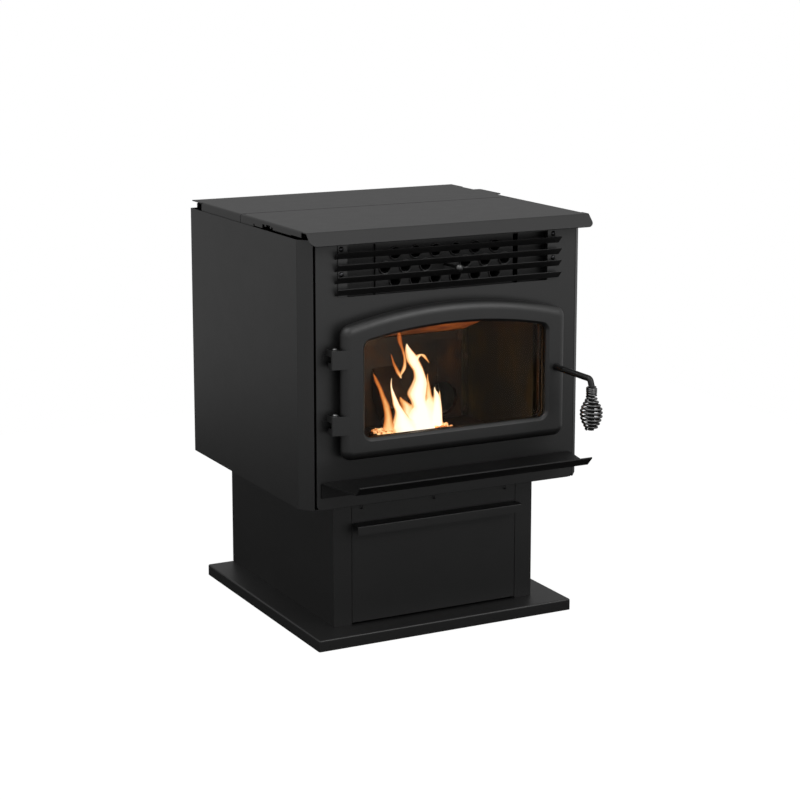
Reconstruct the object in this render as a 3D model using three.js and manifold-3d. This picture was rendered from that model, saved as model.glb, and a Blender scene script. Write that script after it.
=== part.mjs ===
// A free-standing pellet stove on a pedestal: folded sheet-steel body, arched cast door with a glass window,
// pellet hopper with its auger behind the firebox, tube heat exchanger above it, and an ash drawer below.
// Millimetres, +Z up, the door faces -Y. Lengths along Y are measured back from the base's front edge, and the
// whole group is moved at the end so that its origin is the centre of the base on the floor.
import * as THREE from 'three';
import { mergeVertices } from 'three/addons/utils/BufferGeometryUtils.js';
import Module from 'manifold-3d';

const wasm = await Module();
wasm.setup();

// ---- Driving dimensions ----
const gap = 0.3; // clearance between pieces that are fitted to each other
const runGap = 1; // clearance round pieces that slide or turn
const shaftGap = 0.1; // clearance round a shaft in its bearing

const baseWidth = 556;
const baseDepth = 552;
const baseHeight = 22.5;
const baseWall = 3;
const railWidth = 60;

// Heights are stacked from the floor up, so a change to one carries everything above it.
const pedestalHeight = 251.8;
const fireboxUp = 70.7; // from the pedestal's top to the firebox floor
const doorUp = 25; // from the firebox floor to the door's lower edge
const doorHeight = 284;
const outletUp = 19; // from the firebox's roof to the louvre opening
const outletHeight = 96;
const topUp = 30; // from the louvre opening to the top plate's surface
const pedestalTop = baseHeight + pedestalHeight;
const fireboxBottom = pedestalTop + fireboxUp;
const doorBottom = fireboxBottom + doorUp;
const doorPeak = doorBottom + doorHeight;
const fireboxTop = doorPeak + 1;
const outletBottom = fireboxTop + outletUp;
const outletTop = outletBottom + outletHeight;
const topHeight = outletTop + topUp;

const pedestalWidth = 441;
const pedestalFront = 57.5;
const pedestalWall = 2;
const drawerFrontWidth = pedestalWidth - 80;

const bodyWidth = 607.5;
const bodyFrontBend = 32.8;
const bevelWidth = 23;
const bevelDepth = 28.6;
const bodyBack = 550;
const bodyTop = topHeight - 16.6;
const sheet = 1.5;
const flange = 18;
const panFloor = 2;

const panelFront = 3.5;
const panelThick = 3;
const panelWidth = bodyWidth - 56;
const panelCorner = 10;

const topWidth = bodyWidth - 2.5;
const topSheet = 2;
const topBend = -7.1;
const noseDrop = 22.5;
const sideFlangeDrop = 10;
const lidSeam = 294.8;
const lidBack = 544.4;
const lidThick = 10;
const lidTabLength = 90;
const lidTabReach = 12;
const lidTabBack = 440;

const lipTop = fireboxBottom - 17;
const lipThick = 3;
const lipBackWidth = panelWidth - 9.5;
const lipFrontWidth = lipBackWidth - 43;
const lipReach = 102;
const lipRise = 16;
const lipFlange = 30;

const louvrePitch = 22.7;
const louvreCount = 4;
const louvreTopHeight = outletTop - 24;
const louvreReach = 12.6;
const louvreThick = 1.4;
const stripWidth = 19;
const stripInner = 215;
const stripThick = 2;
const louvreWidth = 2 * (stripInner + 25);
const screwX = stripInner + 12.4;
const screwHeights = [outletTop - 5.5, outletTop - 52.5];
const screwHeadRadius = 5;
const screwHeadThick = 3;
const screwShankRadius = 2.2;
const screwLength = 12;

const doorWidth = 480;
const doorArch = 925; // radius of the arched top
const doorFace = -33;
const doorBack = -15;
const doorRoll = 18; // radius of the rounded outer edge
const rimInset = 12;
const rimWidth = doorWidth - 2 * rimInset;
const rimBack = -3;
const windowWidth = doorWidth - 89.4;
const windowBottom = doorBottom + 41.2;
const windowPeak = doorPeak - 40.8;
const windowCorner = 14;
const rebate = 9; // how far the glass seat is wider than the window
const faceThick = 11;
const glassThick = 5;
const retainerThick = 3;
const gasketWidth = 6;
const mouthInset = 5; // from the window's edge outwards to the firebox mouth

const hingeX = -doorWidth / 2 - 9.5;
const hingeY = -15;
const hingeHeights = [doorBottom + 176, doorBottom + 52];
const hingeTall = 35.5;
const pinRadius = 4;
const knuckleRadius = 8.5;
const strapReach = 24;

const handleX = doorWidth / 2 - 23.3;
const handleZ = doorBottom + 138.4;
const rodRadius = 6.35;
const tongueLength = 28;
const tongueThick = 2.8;
const tongueHeel = 1.5; // the tongue's short end is cut back to clear the gasket as it turns
const gripLength = 85;
const gripRadius = 22.5;
const wireRadius = 1.9;
const gripTurns = 10;

const fireboxHalf = 206;
const fireboxWall = 3;
const fireboxBack = 292;
const linerThick = 9;
const linerBottom = fireboxBottom + 7;
const linerTop = fireboxTop - 15;

const exchangerHalf = 148;
const exchangerFront = 20;
const exchangerBack = 262;
const exchangerTop = topHeight - 14;
const exchangerWall = 2;
const tubeRadius = 12.5;
const tubeWall = 1.5;
const tubePitch = 42.8;
const tubeRows = [outletTop - 23, outletTop - 49, outletTop - 75];
const scraperHeight = tubeRows[1] - 2.2;
const scraperRadius = 3;
const knobRadius = 7.5;
const knobFront = -33;

const potHalf = 63;
const potFront = 114;
const potBack = 176;
const potRim = fireboxBottom + 21;
const potDepth = 62;
const potWall = 3;
const potFlange = 10;

const hopperTopHalf = bodyWidth / 2 - 19.75;
const hopperTopFront = 300;
const hopperTopBack = 541;
const hopperTopHeight = topHeight - 2.3;
const hopperThroatHalf = 26;
const hopperThroatFront = 419;
const hopperThroatBack = 475;
const hopperThroatHeight = fireboxBottom + 97;

const augerFoot = new THREE.Vector3(0, 477, fireboxBottom + 75); // where the auger's axis meets its motor
const augerLength = 210;
const augerTubeRadius = 30;
const augerTubeWall = 2.5;
const flightRadius = 25;
const augerCore = 7;
const flightPitch = 40;

const outletPipeRadius = 38; // 3 inch flue collar
const intakePipeRadius = 25.4; // 2 inch combustion air pipe
const pipeWall = 1.5;
const pipeEnd = 600;

// ---- Small helpers ----
function toManifold(geometry) {
  const bare = geometry.index ? geometry.clone() : geometry;
  bare.deleteAttribute('normal');
  bare.deleteAttribute('uv');
  const merged = mergeVertices(bare, 1e-4);
  return new wasm.Manifold(new wasm.Mesh({
    numProp: 3,
    vertProperties: merged.attributes.position.array,
    triVerts: new Uint32Array(merged.index.array),
  }));
}

function toGeometry(solid) {
  const mesh = solid.getMesh();
  const geometry = new THREE.BufferGeometry();
  geometry.setAttribute('position', new THREE.BufferAttribute(mesh.vertProperties, 3));
  geometry.setIndex(new THREE.BufferAttribute(mesh.triVerts, 1));
  return geometry;
}

const join = (...solids) => solids.reduce((all, one) => all.add(one));
const cut = (solid, ...tools) => tools.reduce((left, tool) => left.subtract(tool), solid);

function box(x0, x1, y0, y1, z0, z1) {
  const geometry = new THREE.BoxGeometry(x1 - x0, y1 - y0, z1 - z0);
  geometry.translate((x0 + x1) / 2, (y0 + y1) / 2, (z0 + z1) / 2);
  return toManifold(geometry);
}

// A cylinder between two places on one axis: 'x', 'y' or 'z'.
function rod(axis, radius, from, to, a, b, sides = 16) {
  const geometry = new THREE.CylinderGeometry(radius, radius, to - from, sides);
  geometry.translate(0, (from + to) / 2, 0);
  if (axis === 'x') {
    geometry.rotateZ(-Math.PI / 2);
    geometry.translate(0, a, b);
  } else if (axis === 'y') {
    geometry.translate(a, 0, b);
  } else {
    geometry.rotateX(Math.PI / 2);
    geometry.translate(a, b, 0);
  }
  return toManifold(geometry);
}

function pipe(axis, radius, wall, from, to, a, b, sides = 20) {
  return cut(rod(axis, radius, from, to, a, b, sides), rod(axis, radius - wall, from - 1, to + 1, a, b, sides));
}

// The radius of a many-sided hole in which a many-sided shaft turns freely.
const turningHole = (radius, sides) => radius / Math.cos(Math.PI / sides) + shaftGap;

// Prisms: an outline drawn in two axes and extruded along the third.
function prismX(outline, x0, x1) {
  const geometry = new THREE.ExtrudeGeometry(new THREE.Shape(outline), { depth: x1 - x0, bevelEnabled: false });
  geometry.applyMatrix4(new THREE.Matrix4().set(0, 0, 1, x0, 1, 0, 0, 0, 0, 1, 0, 0, 0, 0, 0, 1));
  return toManifold(geometry);
}

function prismY(shape, y0, y1, bevel = {}) {
  const geometry = new THREE.ExtrudeGeometry(shape, { depth: y1 - y0, bevelEnabled: false, ...bevel });
  geometry.applyMatrix4(new THREE.Matrix4().set(1, 0, 0, 0, 0, 0, -1, y1, 0, 1, 0, 0, 0, 0, 0, 1));
  return toManifold(geometry);
}

function prismZ(outline, z0, z1) {
  const geometry = new THREE.ExtrudeGeometry(new THREE.Shape(outline), { depth: z1 - z0, bevelEnabled: false });
  geometry.translate(0, 0, z0);
  return toManifold(geometry);
}

const points = (list) => list.map(([u, v]) => new THREE.Vector2(u, v));

// The closed outline of a folded sheet: the given bend points and their offset by the sheet's thickness,
// to the left of the path where the thickness is positive.
function folded(path, thickness) {
  const bends = points(path);
  const offset = bends.map((bend, i) => {
    const before = bends[Math.max(i - 1, 0)];
    const after = bends[Math.min(i + 1, bends.length - 1)];
    const into = (i > 0 ? bend.clone().sub(before) : after.clone().sub(bend)).normalize();
    const out = (i < bends.length - 1 ? after.clone().sub(bend) : bend.clone().sub(before)).normalize();
    const normal = new THREE.Vector2(-into.y - out.y, into.x + out.x).normalize();
    const spread = normal.dot(new THREE.Vector2(-into.y, into.x));
    return bend.clone().addScaledVector(normal, thickness / spread);
  });
  return [...bends, ...offset.reverse()];
}

// A window outline in X and Z with an arched top and rounded corners, grown outwards by `grow`.
function archOutline(width, bottom, peak, corner, grow = 0, steps = 10) {
  const half = width / 2 + grow;
  const low = bottom - grow;
  const radius = doorArch + grow;
  const centre = peak + grow - radius;
  const side = centre + Math.sqrt(radius * radius - half * half);
  const bend = Math.min(Math.max(corner + grow, 0.5), (side - low) / 2);
  const shape = new THREE.Shape();
  shape.moveTo(-half + bend, low);
  shape.lineTo(half - bend, low);
  shape.quadraticCurveTo(half, low, half, low + bend);
  shape.lineTo(half, side - bend);
  const inner = half - bend;
  const shoulder = centre + Math.sqrt(radius * radius - inner * inner);
  shape.quadraticCurveTo(half, side, inner, shoulder);
  for (let i = 1; i <= steps; i += 1) {
    const x = inner - (2 * inner * i) / steps;
    shape.lineTo(x, centre + Math.sqrt(radius * radius - x * x));
  }
  shape.quadraticCurveTo(-half, side, -half, side - bend);
  shape.lineTo(-half, low + bend);
  shape.quadraticCurveTo(-half, low, -half + bend, low);
  return new THREE.Shape(shape.getPoints(3));
}

function arch(grow, y0, y1, width = windowWidth, bottom = windowBottom, peak = windowPeak, corner = windowCorner) {
  return prismY(archOutline(width, bottom, peak, corner, grow), y0, y1);
}

// A convex block between a rectangle at one height and another at a second height.
function taperedBlock(low, high) {
  const corners = [low, high].flatMap(([x0, x1, y0, y1, z]) => [[x0, y0, z], [x1, y0, z], [x1, y1, z], [x0, y1, z]]);
  const geometry = new THREE.BufferGeometry();
  geometry.setAttribute('position', new THREE.Float32BufferAttribute(corners.flat(), 3));
  const sides = [0, 1, 2, 3].flatMap((i) => {
    const next = (i + 1) % 4;
    return [i, next, next + 4, i, next + 4, i + 4];
  });
  geometry.setIndex([0, 2, 1, 0, 3, 2, 4, 5, 6, 4, 6, 7, ...sides]);
  return toManifold(geometry);
}

const stove = new THREE.Group();

function add(name, solid, colour, roughness = 0.5, metalness = 0.3) {
  const material = new THREE.MeshStandardMaterial({ color: colour, roughness, metalness });
  const mesh = new THREE.Mesh(solid.isBufferGeometry ? solid : toGeometry(solid), material);
  mesh.name = name;
  stove.add(mesh);
  return mesh;
}

const satinBlack = 0x3d3d3d;
const castIron = 0x333333;
const steel = 0x8a8a88;
const sooty = 0x5a4632;
const bright = 0xb4b4b0;
const brightRough = 0.35;
const brightMetal = 0.9;
const mirrored = [-1, 1];
const sideName = (side) => (side < 0 ? 'left' : 'right');

// ---- Base and pedestal ----
const baseTopInner = baseHeight - baseWall;
add('base_pan', cut(
  box(-baseWidth / 2, baseWidth / 2, 0, baseDepth, 0, baseHeight),
  box(-baseWidth / 2 + baseWall, baseWidth / 2 - baseWall, baseWall, baseDepth - baseWall, -1, baseTopInner),
), satinBlack);
const railHalf = baseWidth / 2 - baseWall - gap;
const railFront = (baseDepth - railWidth) / 2;
add('base_cross_rail', box(-railHalf, railHalf, railFront, railFront + railWidth, 0, baseTopInner), satinBlack);

const pedestalHalf = pedestalWidth / 2;
const pedestalInner = pedestalHalf - pedestalWall;
const pedestalRear = baseDepth - pedestalWall;
const drawerHalf = drawerFrontWidth / 2;
const runnerHeight = baseHeight + 17.5;
const runnerReach = 50;
const runnerThick = 2;
const runnerUp = 24;
const drawerStart = pedestalFront + 30;
for (const side of mirrored) {
  const place = (x0, x1, ...rest) => box(Math.min(side * x0, side * x1), Math.max(side * x0, side * x1), ...rest);
  add(`pedestal_side_${sideName(side)}`, join(
    place(pedestalInner, pedestalHalf, pedestalFront, pedestalRear, baseHeight, pedestalTop),
    place(drawerHalf + runGap, pedestalHalf, pedestalFront, pedestalFront + pedestalWall, baseHeight, pedestalTop),
  ), satinBlack);
  add(`drawer_runner_${sideName(side)}`, join(
    place(pedestalInner - runnerReach, pedestalInner, drawerStart, pedestalRear, runnerHeight,
      runnerHeight + runnerThick),
    place(pedestalInner - runnerThick, pedestalInner, drawerStart, pedestalRear, runnerHeight,
      runnerHeight + runnerUp),
  ), steel, brightRough, brightMetal);
}
add('pedestal_back', box(-pedestalHalf, pedestalHalf, pedestalRear, baseDepth, baseHeight, pedestalTop), satinBlack);

// ---- Ash drawer ----
const drawerFrontBottom = baseHeight + 3.5;
const drawerFrontTop = pedestalTop - 2.3;
const drawerBottom = runnerHeight + runnerThick + gap;
const drawerBoxTop = pedestalTop - 74.3;
const drawerBoxBack = 500;
const drawerWall = 1.5;
const stripLow = drawerFrontTop - 65;
const stripHigh = stripLow + 17.5;
const stripReach = 27;
const drawerBoxFront = pedestalFront + pedestalWall;
add('ash_drawer', join(
  box(-drawerHalf, drawerHalf, pedestalFront, drawerBoxFront, drawerFrontBottom, drawerFrontTop),
  cut(
    box(-drawerHalf, drawerHalf, drawerBoxFront, drawerBoxBack, drawerBottom, drawerBoxTop),
    box(-drawerHalf + drawerWall, drawerHalf - drawerWall, drawerBoxFront + drawerWall, drawerBoxBack - drawerWall,
      drawerBottom + drawerWall, drawerBoxTop + 1),
  ),
), satinBlack);
const stripSheet = 2;
add('drawer_handle', prismX(folded([
  [pedestalFront, stripHigh], [pedestalFront - stripReach, stripHigh], [pedestalFront - stripReach, stripLow],
], stripSheet), -drawerHalf, drawerHalf), satinBlack);

// ---- Body shell ----
const bodyHalf = bodyWidth / 2;
const bevelEnd = bodyHalf - bevelWidth;
const bevelFront = bodyFrontBend - bevelDepth;
for (const side of mirrored) {
  const plan = folded([
    [side * (bodyHalf - flange), bodyBack],
    [side * bodyHalf, bodyBack],
    [side * bodyHalf, bodyFrontBend],
    [side * bevelEnd, bevelFront],
    [side * bevelEnd, bevelFront + flange],
  ], -side * sheet);
  add(`side_panel_${sideName(side)}`, prismZ(plan, pedestalTop, bodyTop), satinBlack);
}

const panelBack = panelFront + panelThick;
const shellInner = bodyHalf - sheet;
const rearPanelBack = bodyBack - sheet;
const rearPanelFront = rearPanelBack - sheet;
const panFront = panelBack;
const panBend = bodyFrontBend + sheet;
const panNose = bevelEnd - 2 * sheet;
const panTop = pedestalTop + panFloor;
add('bottom_pan', cut(
  prismZ(points([
    [-panNose, panFront], [panNose, panFront], [panNose, panBend], [shellInner - gap, panBend + bevelWidth / 4],
    [shellInner - gap, rearPanelBack], [-shellInner + gap, rearPanelBack],
    [-shellInner + gap, panBend + bevelWidth / 4], [-panNose, panBend],
  ]), pedestalTop, panTop),
  box(-potHalf, potHalf, potFront, potBack, pedestalTop - 1, panTop + 1),
), satinBlack);

// ---- Flue outlet, combustion air and mains inlet in the rear panel ----
const fanX0 = 96;
const fanX1 = 176;
const fanY = 400;
const fanZ = fireboxBottom + 27;
const fanRadius = 72;
const fanWall = 2;
const fanShaftRadius = 5;
const outletX = (fanX0 + fanX1) / 2;
const outletZ = fanZ - fanRadius + outletPipeRadius;
const intakeX = -100;
const intakeZ = pedestalTop + 37.7;
const inletX = -210;
const inletZ = pedestalTop + 45.7;
const inletWide = 50;
const inletTall = 32;
const inletDeep = 26;
const inletLap = 2; // how far the inlet's flange covers the panel round its hole

const rearPanelHalf = shellInner - gap;
add('back_panel', cut(
  box(-rearPanelHalf, rearPanelHalf, rearPanelFront, rearPanelBack, panTop, bodyTop),
  rod('y', outletPipeRadius + gap, rearPanelFront - 1, rearPanelBack + 1, outletX, outletZ, 20),
  rod('y', intakePipeRadius + gap, rearPanelFront - 1, rearPanelBack + 1, intakeX, intakeZ, 20),
  box(inletX - inletWide / 2 + inletLap, inletX + inletWide / 2 - inletLap, rearPanelFront - 1, rearPanelBack + 1,
    inletZ - inletTall / 2 + inletLap, inletZ + inletTall / 2 - inletLap),
), satinBlack);
const inletFlange = 4;
const socketDepth = 20;
const socketHalfWide = 12;
const socketHalfTall = 8;
const inletShoulder = inletLap + runGap;
add('power_inlet', cut(
  join(
    box(inletX - inletWide / 2, inletX + inletWide / 2, rearPanelBack, rearPanelBack + inletFlange,
      inletZ - inletTall / 2, inletZ + inletTall / 2),
    box(inletX - inletWide / 2 + inletShoulder, inletX + inletWide / 2 - inletShoulder,
      rearPanelBack + inletFlange - inletDeep, rearPanelBack + 1,
      inletZ - inletTall / 2 + inletShoulder, inletZ + inletTall / 2 - inletShoulder),
  ),
  box(inletX - socketHalfWide, inletX + socketHalfWide, rearPanelBack + inletFlange - socketDepth,
    rearPanelBack + inletFlange + 1, inletZ - socketHalfTall, inletZ + socketHalfTall),
), 0x1c1c1c, 0.6, 0);

// ---- Front panel and its louvre outlet ----
const panelHalf = panelWidth / 2;
const topUnder = topHeight - topSheet;
const frontPanelBottom = pedestalTop + 0.4;
const panelShape = new THREE.Shape();
panelShape.moveTo(-panelHalf + panelCorner, frontPanelBottom);
panelShape.lineTo(panelHalf - panelCorner, frontPanelBottom);
panelShape.quadraticCurveTo(panelHalf, frontPanelBottom, panelHalf, frontPanelBottom + panelCorner);
panelShape.lineTo(panelHalf, topUnder);
panelShape.lineTo(-panelHalf, topUnder);
panelShape.lineTo(-panelHalf, frontPanelBottom + panelCorner);
panelShape.quadraticCurveTo(-panelHalf, frontPanelBottom, -panelHalf + panelCorner, frontPanelBottom);
const stripY = panelFront - stripThick;
const screwPlaces = mirrored.flatMap((side) => screwHeights.map((z) => [side * screwX, z]));
const screwHoles = screwPlaces.map(([x, z]) => rod('y', screwShankRadius + gap, stripY - 1, panelBack + 1, x, z, 8));
add('front_panel', cut(
  prismY(new THREE.Shape(panelShape.getPoints(3)), panelFront, panelBack),
  arch(mouthInset, panelFront - 1, panelBack + 1),
  box(-stripInner, stripInner, panelFront - 1, panelBack + 1, outletBottom, outletTop),
  ...screwHoles,
), satinBlack);

const slatHalf = louvreWidth / 2;
const slats = [];
for (let i = 0; i < louvreCount; i += 1) {
  const low = louvreTopHeight - i * louvrePitch;
  slats.push(prismX(points([
    [panelFront, low],
    [panelFront, low + louvreThick],
    [stripY - louvreReach, low + louvreReach + louvreThick],
    [stripY - louvreReach, low + louvreReach],
    [stripY, low],
  ]), -slatHalf, slatHalf));
}
const stripBottom = louvreTopHeight - (louvreCount - 1) * louvrePitch - 2;
const stripTop = outletTop + 5;
const strips = mirrored.map((side) => {
  const ends = [side * stripInner, side * (stripInner + stripWidth)].sort((a, b) => a - b);
  return box(...ends, stripY, panelFront, stripBottom, stripTop);
});
add('louvre_grille', cut(join(...strips, ...slats), ...screwHoles), satinBlack);
screwPlaces.forEach(([x, z], i) => {
  add(`grille_screw_${i + 1}`, join(
    rod('y', screwHeadRadius, stripY - screwHeadThick, stripY, x, z, 12),
    rod('y', screwShankRadius, stripY - 1, stripY + screwLength, x, z, 8),
  ), bright, brightRough, brightMetal);
});

// ---- Top plate and hopper lid ----
const topHalf = topWidth / 2;
const topEnd = lidSeam - gap;
const flangeFront = 15;
const topSheetSolid = prismX(folded([
  [topEnd, topHeight], [topBend, topHeight], [topBend - noseDrop, topHeight - noseDrop],
], topSheet), -topHalf, topHalf);
const topFlanges = mirrored.map((side) => {
  const ends = [side * topHalf, side * (topHalf - topSheet)].sort((a, b) => a - b);
  return box(...ends, flangeFront, topEnd, topHeight - sideFlangeDrop, topHeight - 1);
});
add('top_plate', join(topSheetSolid, ...topFlanges), satinBlack);

const lidFront = lidSeam + gap;
add('hopper_lid', join(
  cut(
    box(-topHalf, topHalf, lidFront, lidBack, topHeight - lidThick, topHeight),
    box(-topHalf + topSheet, topHalf - topSheet, lidFront + topSheet, lidBack - topSheet, topHeight - lidThick - 1,
      topHeight - topSheet),
  ),
  box(topHalf - 1, topHalf + lidTabReach, lidTabBack - lidTabLength, lidTabBack, topHeight - topSheet, topHeight),
), satinBlack);

// ---- Ash lip below the door ----
const lipFold = panelFront - lipReach;
const lipBackHalf = lipBackWidth / 2;
const lipFrontHalf = lipFrontWidth / 2;
const lipProfile = folded([
  [panelFront, lipTop - lipFlange], [panelFront, lipTop], [lipFold, lipTop], [lipFold - lipRise, lipTop + lipRise],
], lipThick);
const lipPlan = points([
  [-lipBackHalf, panelFront + 1], [-lipFrontHalf, lipFold], [-lipFrontHalf, lipFold - 2 * lipRise],
  [lipFrontHalf, lipFold - 2 * lipRise], [lipFrontHalf, lipFold], [lipBackHalf, panelFront + 1],
]);
add('ash_lip', prismX(lipProfile, -lipBackHalf, lipBackHalf)
  .intersect(prismZ(lipPlan, lipTop - lipFlange - 1, lipTop + lipRise + 1)), satinBlack);

// ---- Firebox ----
const fireboxInner = fireboxHalf - fireboxWall;
const fireboxFloor = fireboxBottom + fireboxWall;
const exchangerHole = exchangerHalf - 12;
const exchangerLedge = 20; // what the firebox roof keeps under the exchanger's front and back
const chuteHalf = 24;
const chuteWall = 2;
const chuteAngle = Math.PI / 4;
const augerAim = new THREE.Vector3(0, -Math.SQRT1_2, Math.SQRT1_2);
const augerHead = augerFoot.clone().addScaledVector(augerAim, augerLength);
const chuteTopY = augerHead.y + 24;
const chuteTopZ = augerHead.z - 58;
const chuteLength = 175;

// A rod along the auger's 45 degree axis, from one distance to another.
function augerRod(radius, from, to, sides = 16) {
  const geometry = new THREE.CylinderGeometry(radius, radius, to - from, sides);
  geometry.translate(0, (from + to) / 2, 0);
  geometry.rotateX(Math.PI - chuteAngle);
  geometry.translate(augerFoot.x, augerFoot.y, augerFoot.z);
  return toManifold(geometry);
}

// A square duct falling forwards from under the auger's head to above the burn pot.
function chuteBlock(grow, extra = 0) {
  const half = chuteHalf - grow;
  const geometry = new THREE.BoxGeometry(2 * half, chuteLength + 2 * extra, 2 * half);
  geometry.translate(0, -chuteLength / 2, 0);
  geometry.rotateX(chuteAngle);
  geometry.translate(0, chuteTopY, chuteTopZ);
  return toManifold(geometry);
}

const exhaustHole = 36;
const exhaustHoleZ = fanZ + 20;
add('firebox_shell', cut(
  box(-fireboxHalf, fireboxHalf, panelBack, fireboxBack, fireboxBottom, fireboxTop),
  box(-fireboxInner, fireboxInner, panelBack - 1, fireboxBack - fireboxWall, fireboxFloor, fireboxTop - fireboxWall),
  box(-exchangerHole, exchangerHole, exchangerFront + exchangerLedge, exchangerBack - exchangerLedge, fireboxTop - 10, fireboxTop + 1),
  box(-potHalf - potWall - runGap, potHalf + potWall + runGap, potFront - potWall - runGap,
    potBack + potWall + runGap, fireboxBottom - 1, fireboxFloor + 1),
  chuteBlock(-gap),
  rod('y', exhaustHole, fireboxBack - 10, fireboxBack + 1, outletX, exhaustHoleZ, 12),
), sooty, 0.9, 0.1);

const linerGap = 1;
const doorSealRoom = 12; // from the panel to the liners' front edges
const linerFront = panelBack + doorSealRoom;
const cornerStripWidth = 22;
const cornerStripThick = 4;
const linerInner = fireboxInner - linerThick;
const linerBackFace = fireboxBack - fireboxWall;
const cornerStripBack = linerBackFace - linerThick - linerGap;
for (const side of mirrored) {
  const [x0, x1] = [side * linerInner, side * fireboxInner].sort((a, b) => a - b);
  const [c0, c1] = [side * (fireboxInner - 1 - cornerStripWidth), side * (fireboxInner - 1)].sort((a, b) => a - b);
  add(`firebox_liner_${sideName(side)}`, join(
    box(x0, x1, linerFront, cornerStripBack, linerBottom, linerTop),
    box(c0, c1, cornerStripBack - cornerStripThick, cornerStripBack, linerBottom, linerTop),
  ), sooty, 0.9, 0.1);
}
add('firebox_liner_back', cut(
  box(-fireboxInner + gap, fireboxInner - gap, linerBackFace - linerThick, linerBackFace, linerBottom, linerTop),
  chuteBlock(-gap),
  rod('y', exhaustHole, linerBackFace - linerThick - 1, linerBackFace + 1, outletX, exhaustHoleZ, 12),
), sooty, 0.9, 0.1);
const baffleHalf = linerInner - gap;
const baffleFront = 70;
const baffleBackY = cornerStripBack - cornerStripThick - gap;
const baffleZ = fireboxTop - 49;
const baffleThick = 4;
add('baffle_plate', box(-baffleHalf, baffleHalf, baffleFront, baffleBackY, baffleZ, baffleZ + baffleThick), sooty,
  0.9, 0.1);

// ---- Heat exchanger: a box over the firebox, crossed front to back by staggered tubes ----
const tubePlaces = tubeRows.flatMap((z, row) => {
  const offsets = row === 1 ? [-3, -2, -1, 1, 2, 3] : [-2.5, -1.5, -0.5, 0.5, 1.5, 2.5];
  return offsets.map((step) => [step * tubePitch, z]);
});
const tubeSides = 10;
let exchanger = cut(
  box(-exchangerHalf, exchangerHalf, exchangerFront, exchangerBack, fireboxTop, exchangerTop),
  box(-exchangerHalf + exchangerWall, exchangerHalf - exchangerWall, exchangerFront + exchangerWall,
    exchangerBack - exchangerWall, fireboxTop - 1, exchangerTop - exchangerWall),
);
for (const [x, z] of tubePlaces) {
  exchanger = exchanger.add(rod('y', tubeRadius, exchangerFront, exchangerBack, x, z, tubeSides));
}
for (const [x, z] of tubePlaces) {
  exchanger = exchanger.subtract(
    rod('y', tubeRadius - tubeWall, exchangerFront - 1, exchangerBack + 1, x, z, tubeSides),
  );
}
exchanger = exchanger.subtract(
  rod('y', scraperRadius + gap, exchangerFront - 1, exchangerFront + 10, 0, scraperHeight, 10),
);
add('heat_exchanger', exchanger, satinBlack);

const scraperPlateBack = exchangerBack - exchangerWall - 6;
const scraperSkirt = 8; // how far the scraper plate reaches below its lowest holes
const scraperPlateThick = 2;
const scraperHalf = exchangerHalf - exchangerWall - runGap;
let scraper = box(-scraperHalf, scraperHalf, scraperPlateBack - scraperPlateThick, scraperPlateBack,
  tubeRows[2] - tubeRadius - scraperSkirt, exchangerTop - exchangerWall - runGap);
for (const [x, z] of tubePlaces) {
  scraper = scraper.subtract(rod('y', tubeRadius + runGap, scraperPlateBack - 5, scraperPlateBack + 1, x, z,
    tubeSides));
}
add('tube_scraper', join(
  scraper,
  rod('y', scraperRadius, knobFront, scraperPlateBack, 0, scraperHeight, 10),
), steel, 0.5, 0.8);
const knobFit = 0.05; // the knob is pressed onto its rod
const knobBall = new THREE.SphereGeometry(knobRadius, 12, 8);
knobBall.translate(0, knobFront, scraperHeight);
add('scraper_knob', cut(
  toManifold(knobBall),
  rod('y', scraperRadius + knobFit, knobFront - knobFit, knobFront + knobRadius + 1, 0, scraperHeight, 10),
), steel, 0.5, 0.5);

const fillerGapRight = 13;
const fillerFront = exchangerFront + 4;
const fillerThick = 2;
for (const side of mirrored) {
  const inner = exchangerHalf + (side > 0 ? fillerGapRight : gap);
  const [x0, x1] = [side * inner, side * (stripInner + stripWidth)].sort((a, b) => a - b);
  const [e0, e1] = [side * (stripInner + stripWidth - fillerThick), side * (stripInner + stripWidth)]
    .sort((a, b) => a - b);
  add(`outlet_filler_${sideName(side)}`, join(
    box(x0, x1, fillerFront, fillerFront + fillerThick, fireboxTop, exchangerTop),
    box(e0, e1, panelBack + screwLength, fillerFront + fillerThick, fireboxTop, exchangerTop),
  ), satinBlack);
}

// ---- Burn pot, its support, air box, intake pipe and igniter ----
const potOuter = potHalf + potWall;
const potLow = potRim - potDepth - potWall;
const frameThick = 12;
add('burn_pot', cut(
  join(
    box(-potOuter, potOuter, potFront - potWall, potBack + potWall, potLow, potRim),
    box(-potOuter - potFlange, potOuter + potFlange, potFront - potWall - potFlange, potBack + potWall + potFlange,
      potRim - potWall, potRim),
  ),
  box(-potHalf, potHalf, potFront, potBack, potLow + potWall, potRim + 1),
), castIron, 0.9, 0.2);
add('burn_pot_support', cut(
  box(-potOuter - frameThick, potOuter + frameThick, potFront - potWall - frameThick,
    potBack + potWall + frameThick, fireboxFloor, potRim - potWall - gap),
  box(-potOuter - runGap, potOuter + runGap, potFront - potWall - runGap, potBack + potWall + runGap,
    fireboxFloor - 1, potRim),
), castIron, 0.9, 0.2);
const airBoxHalf = 128;
const airBoxFront = 92;
const airBoxBack = 198;
const airBoxWall = 2;
const igniterX = 40;
const igniterZ = fireboxBottom - 23;
const igniterRadius = 5;
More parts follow.
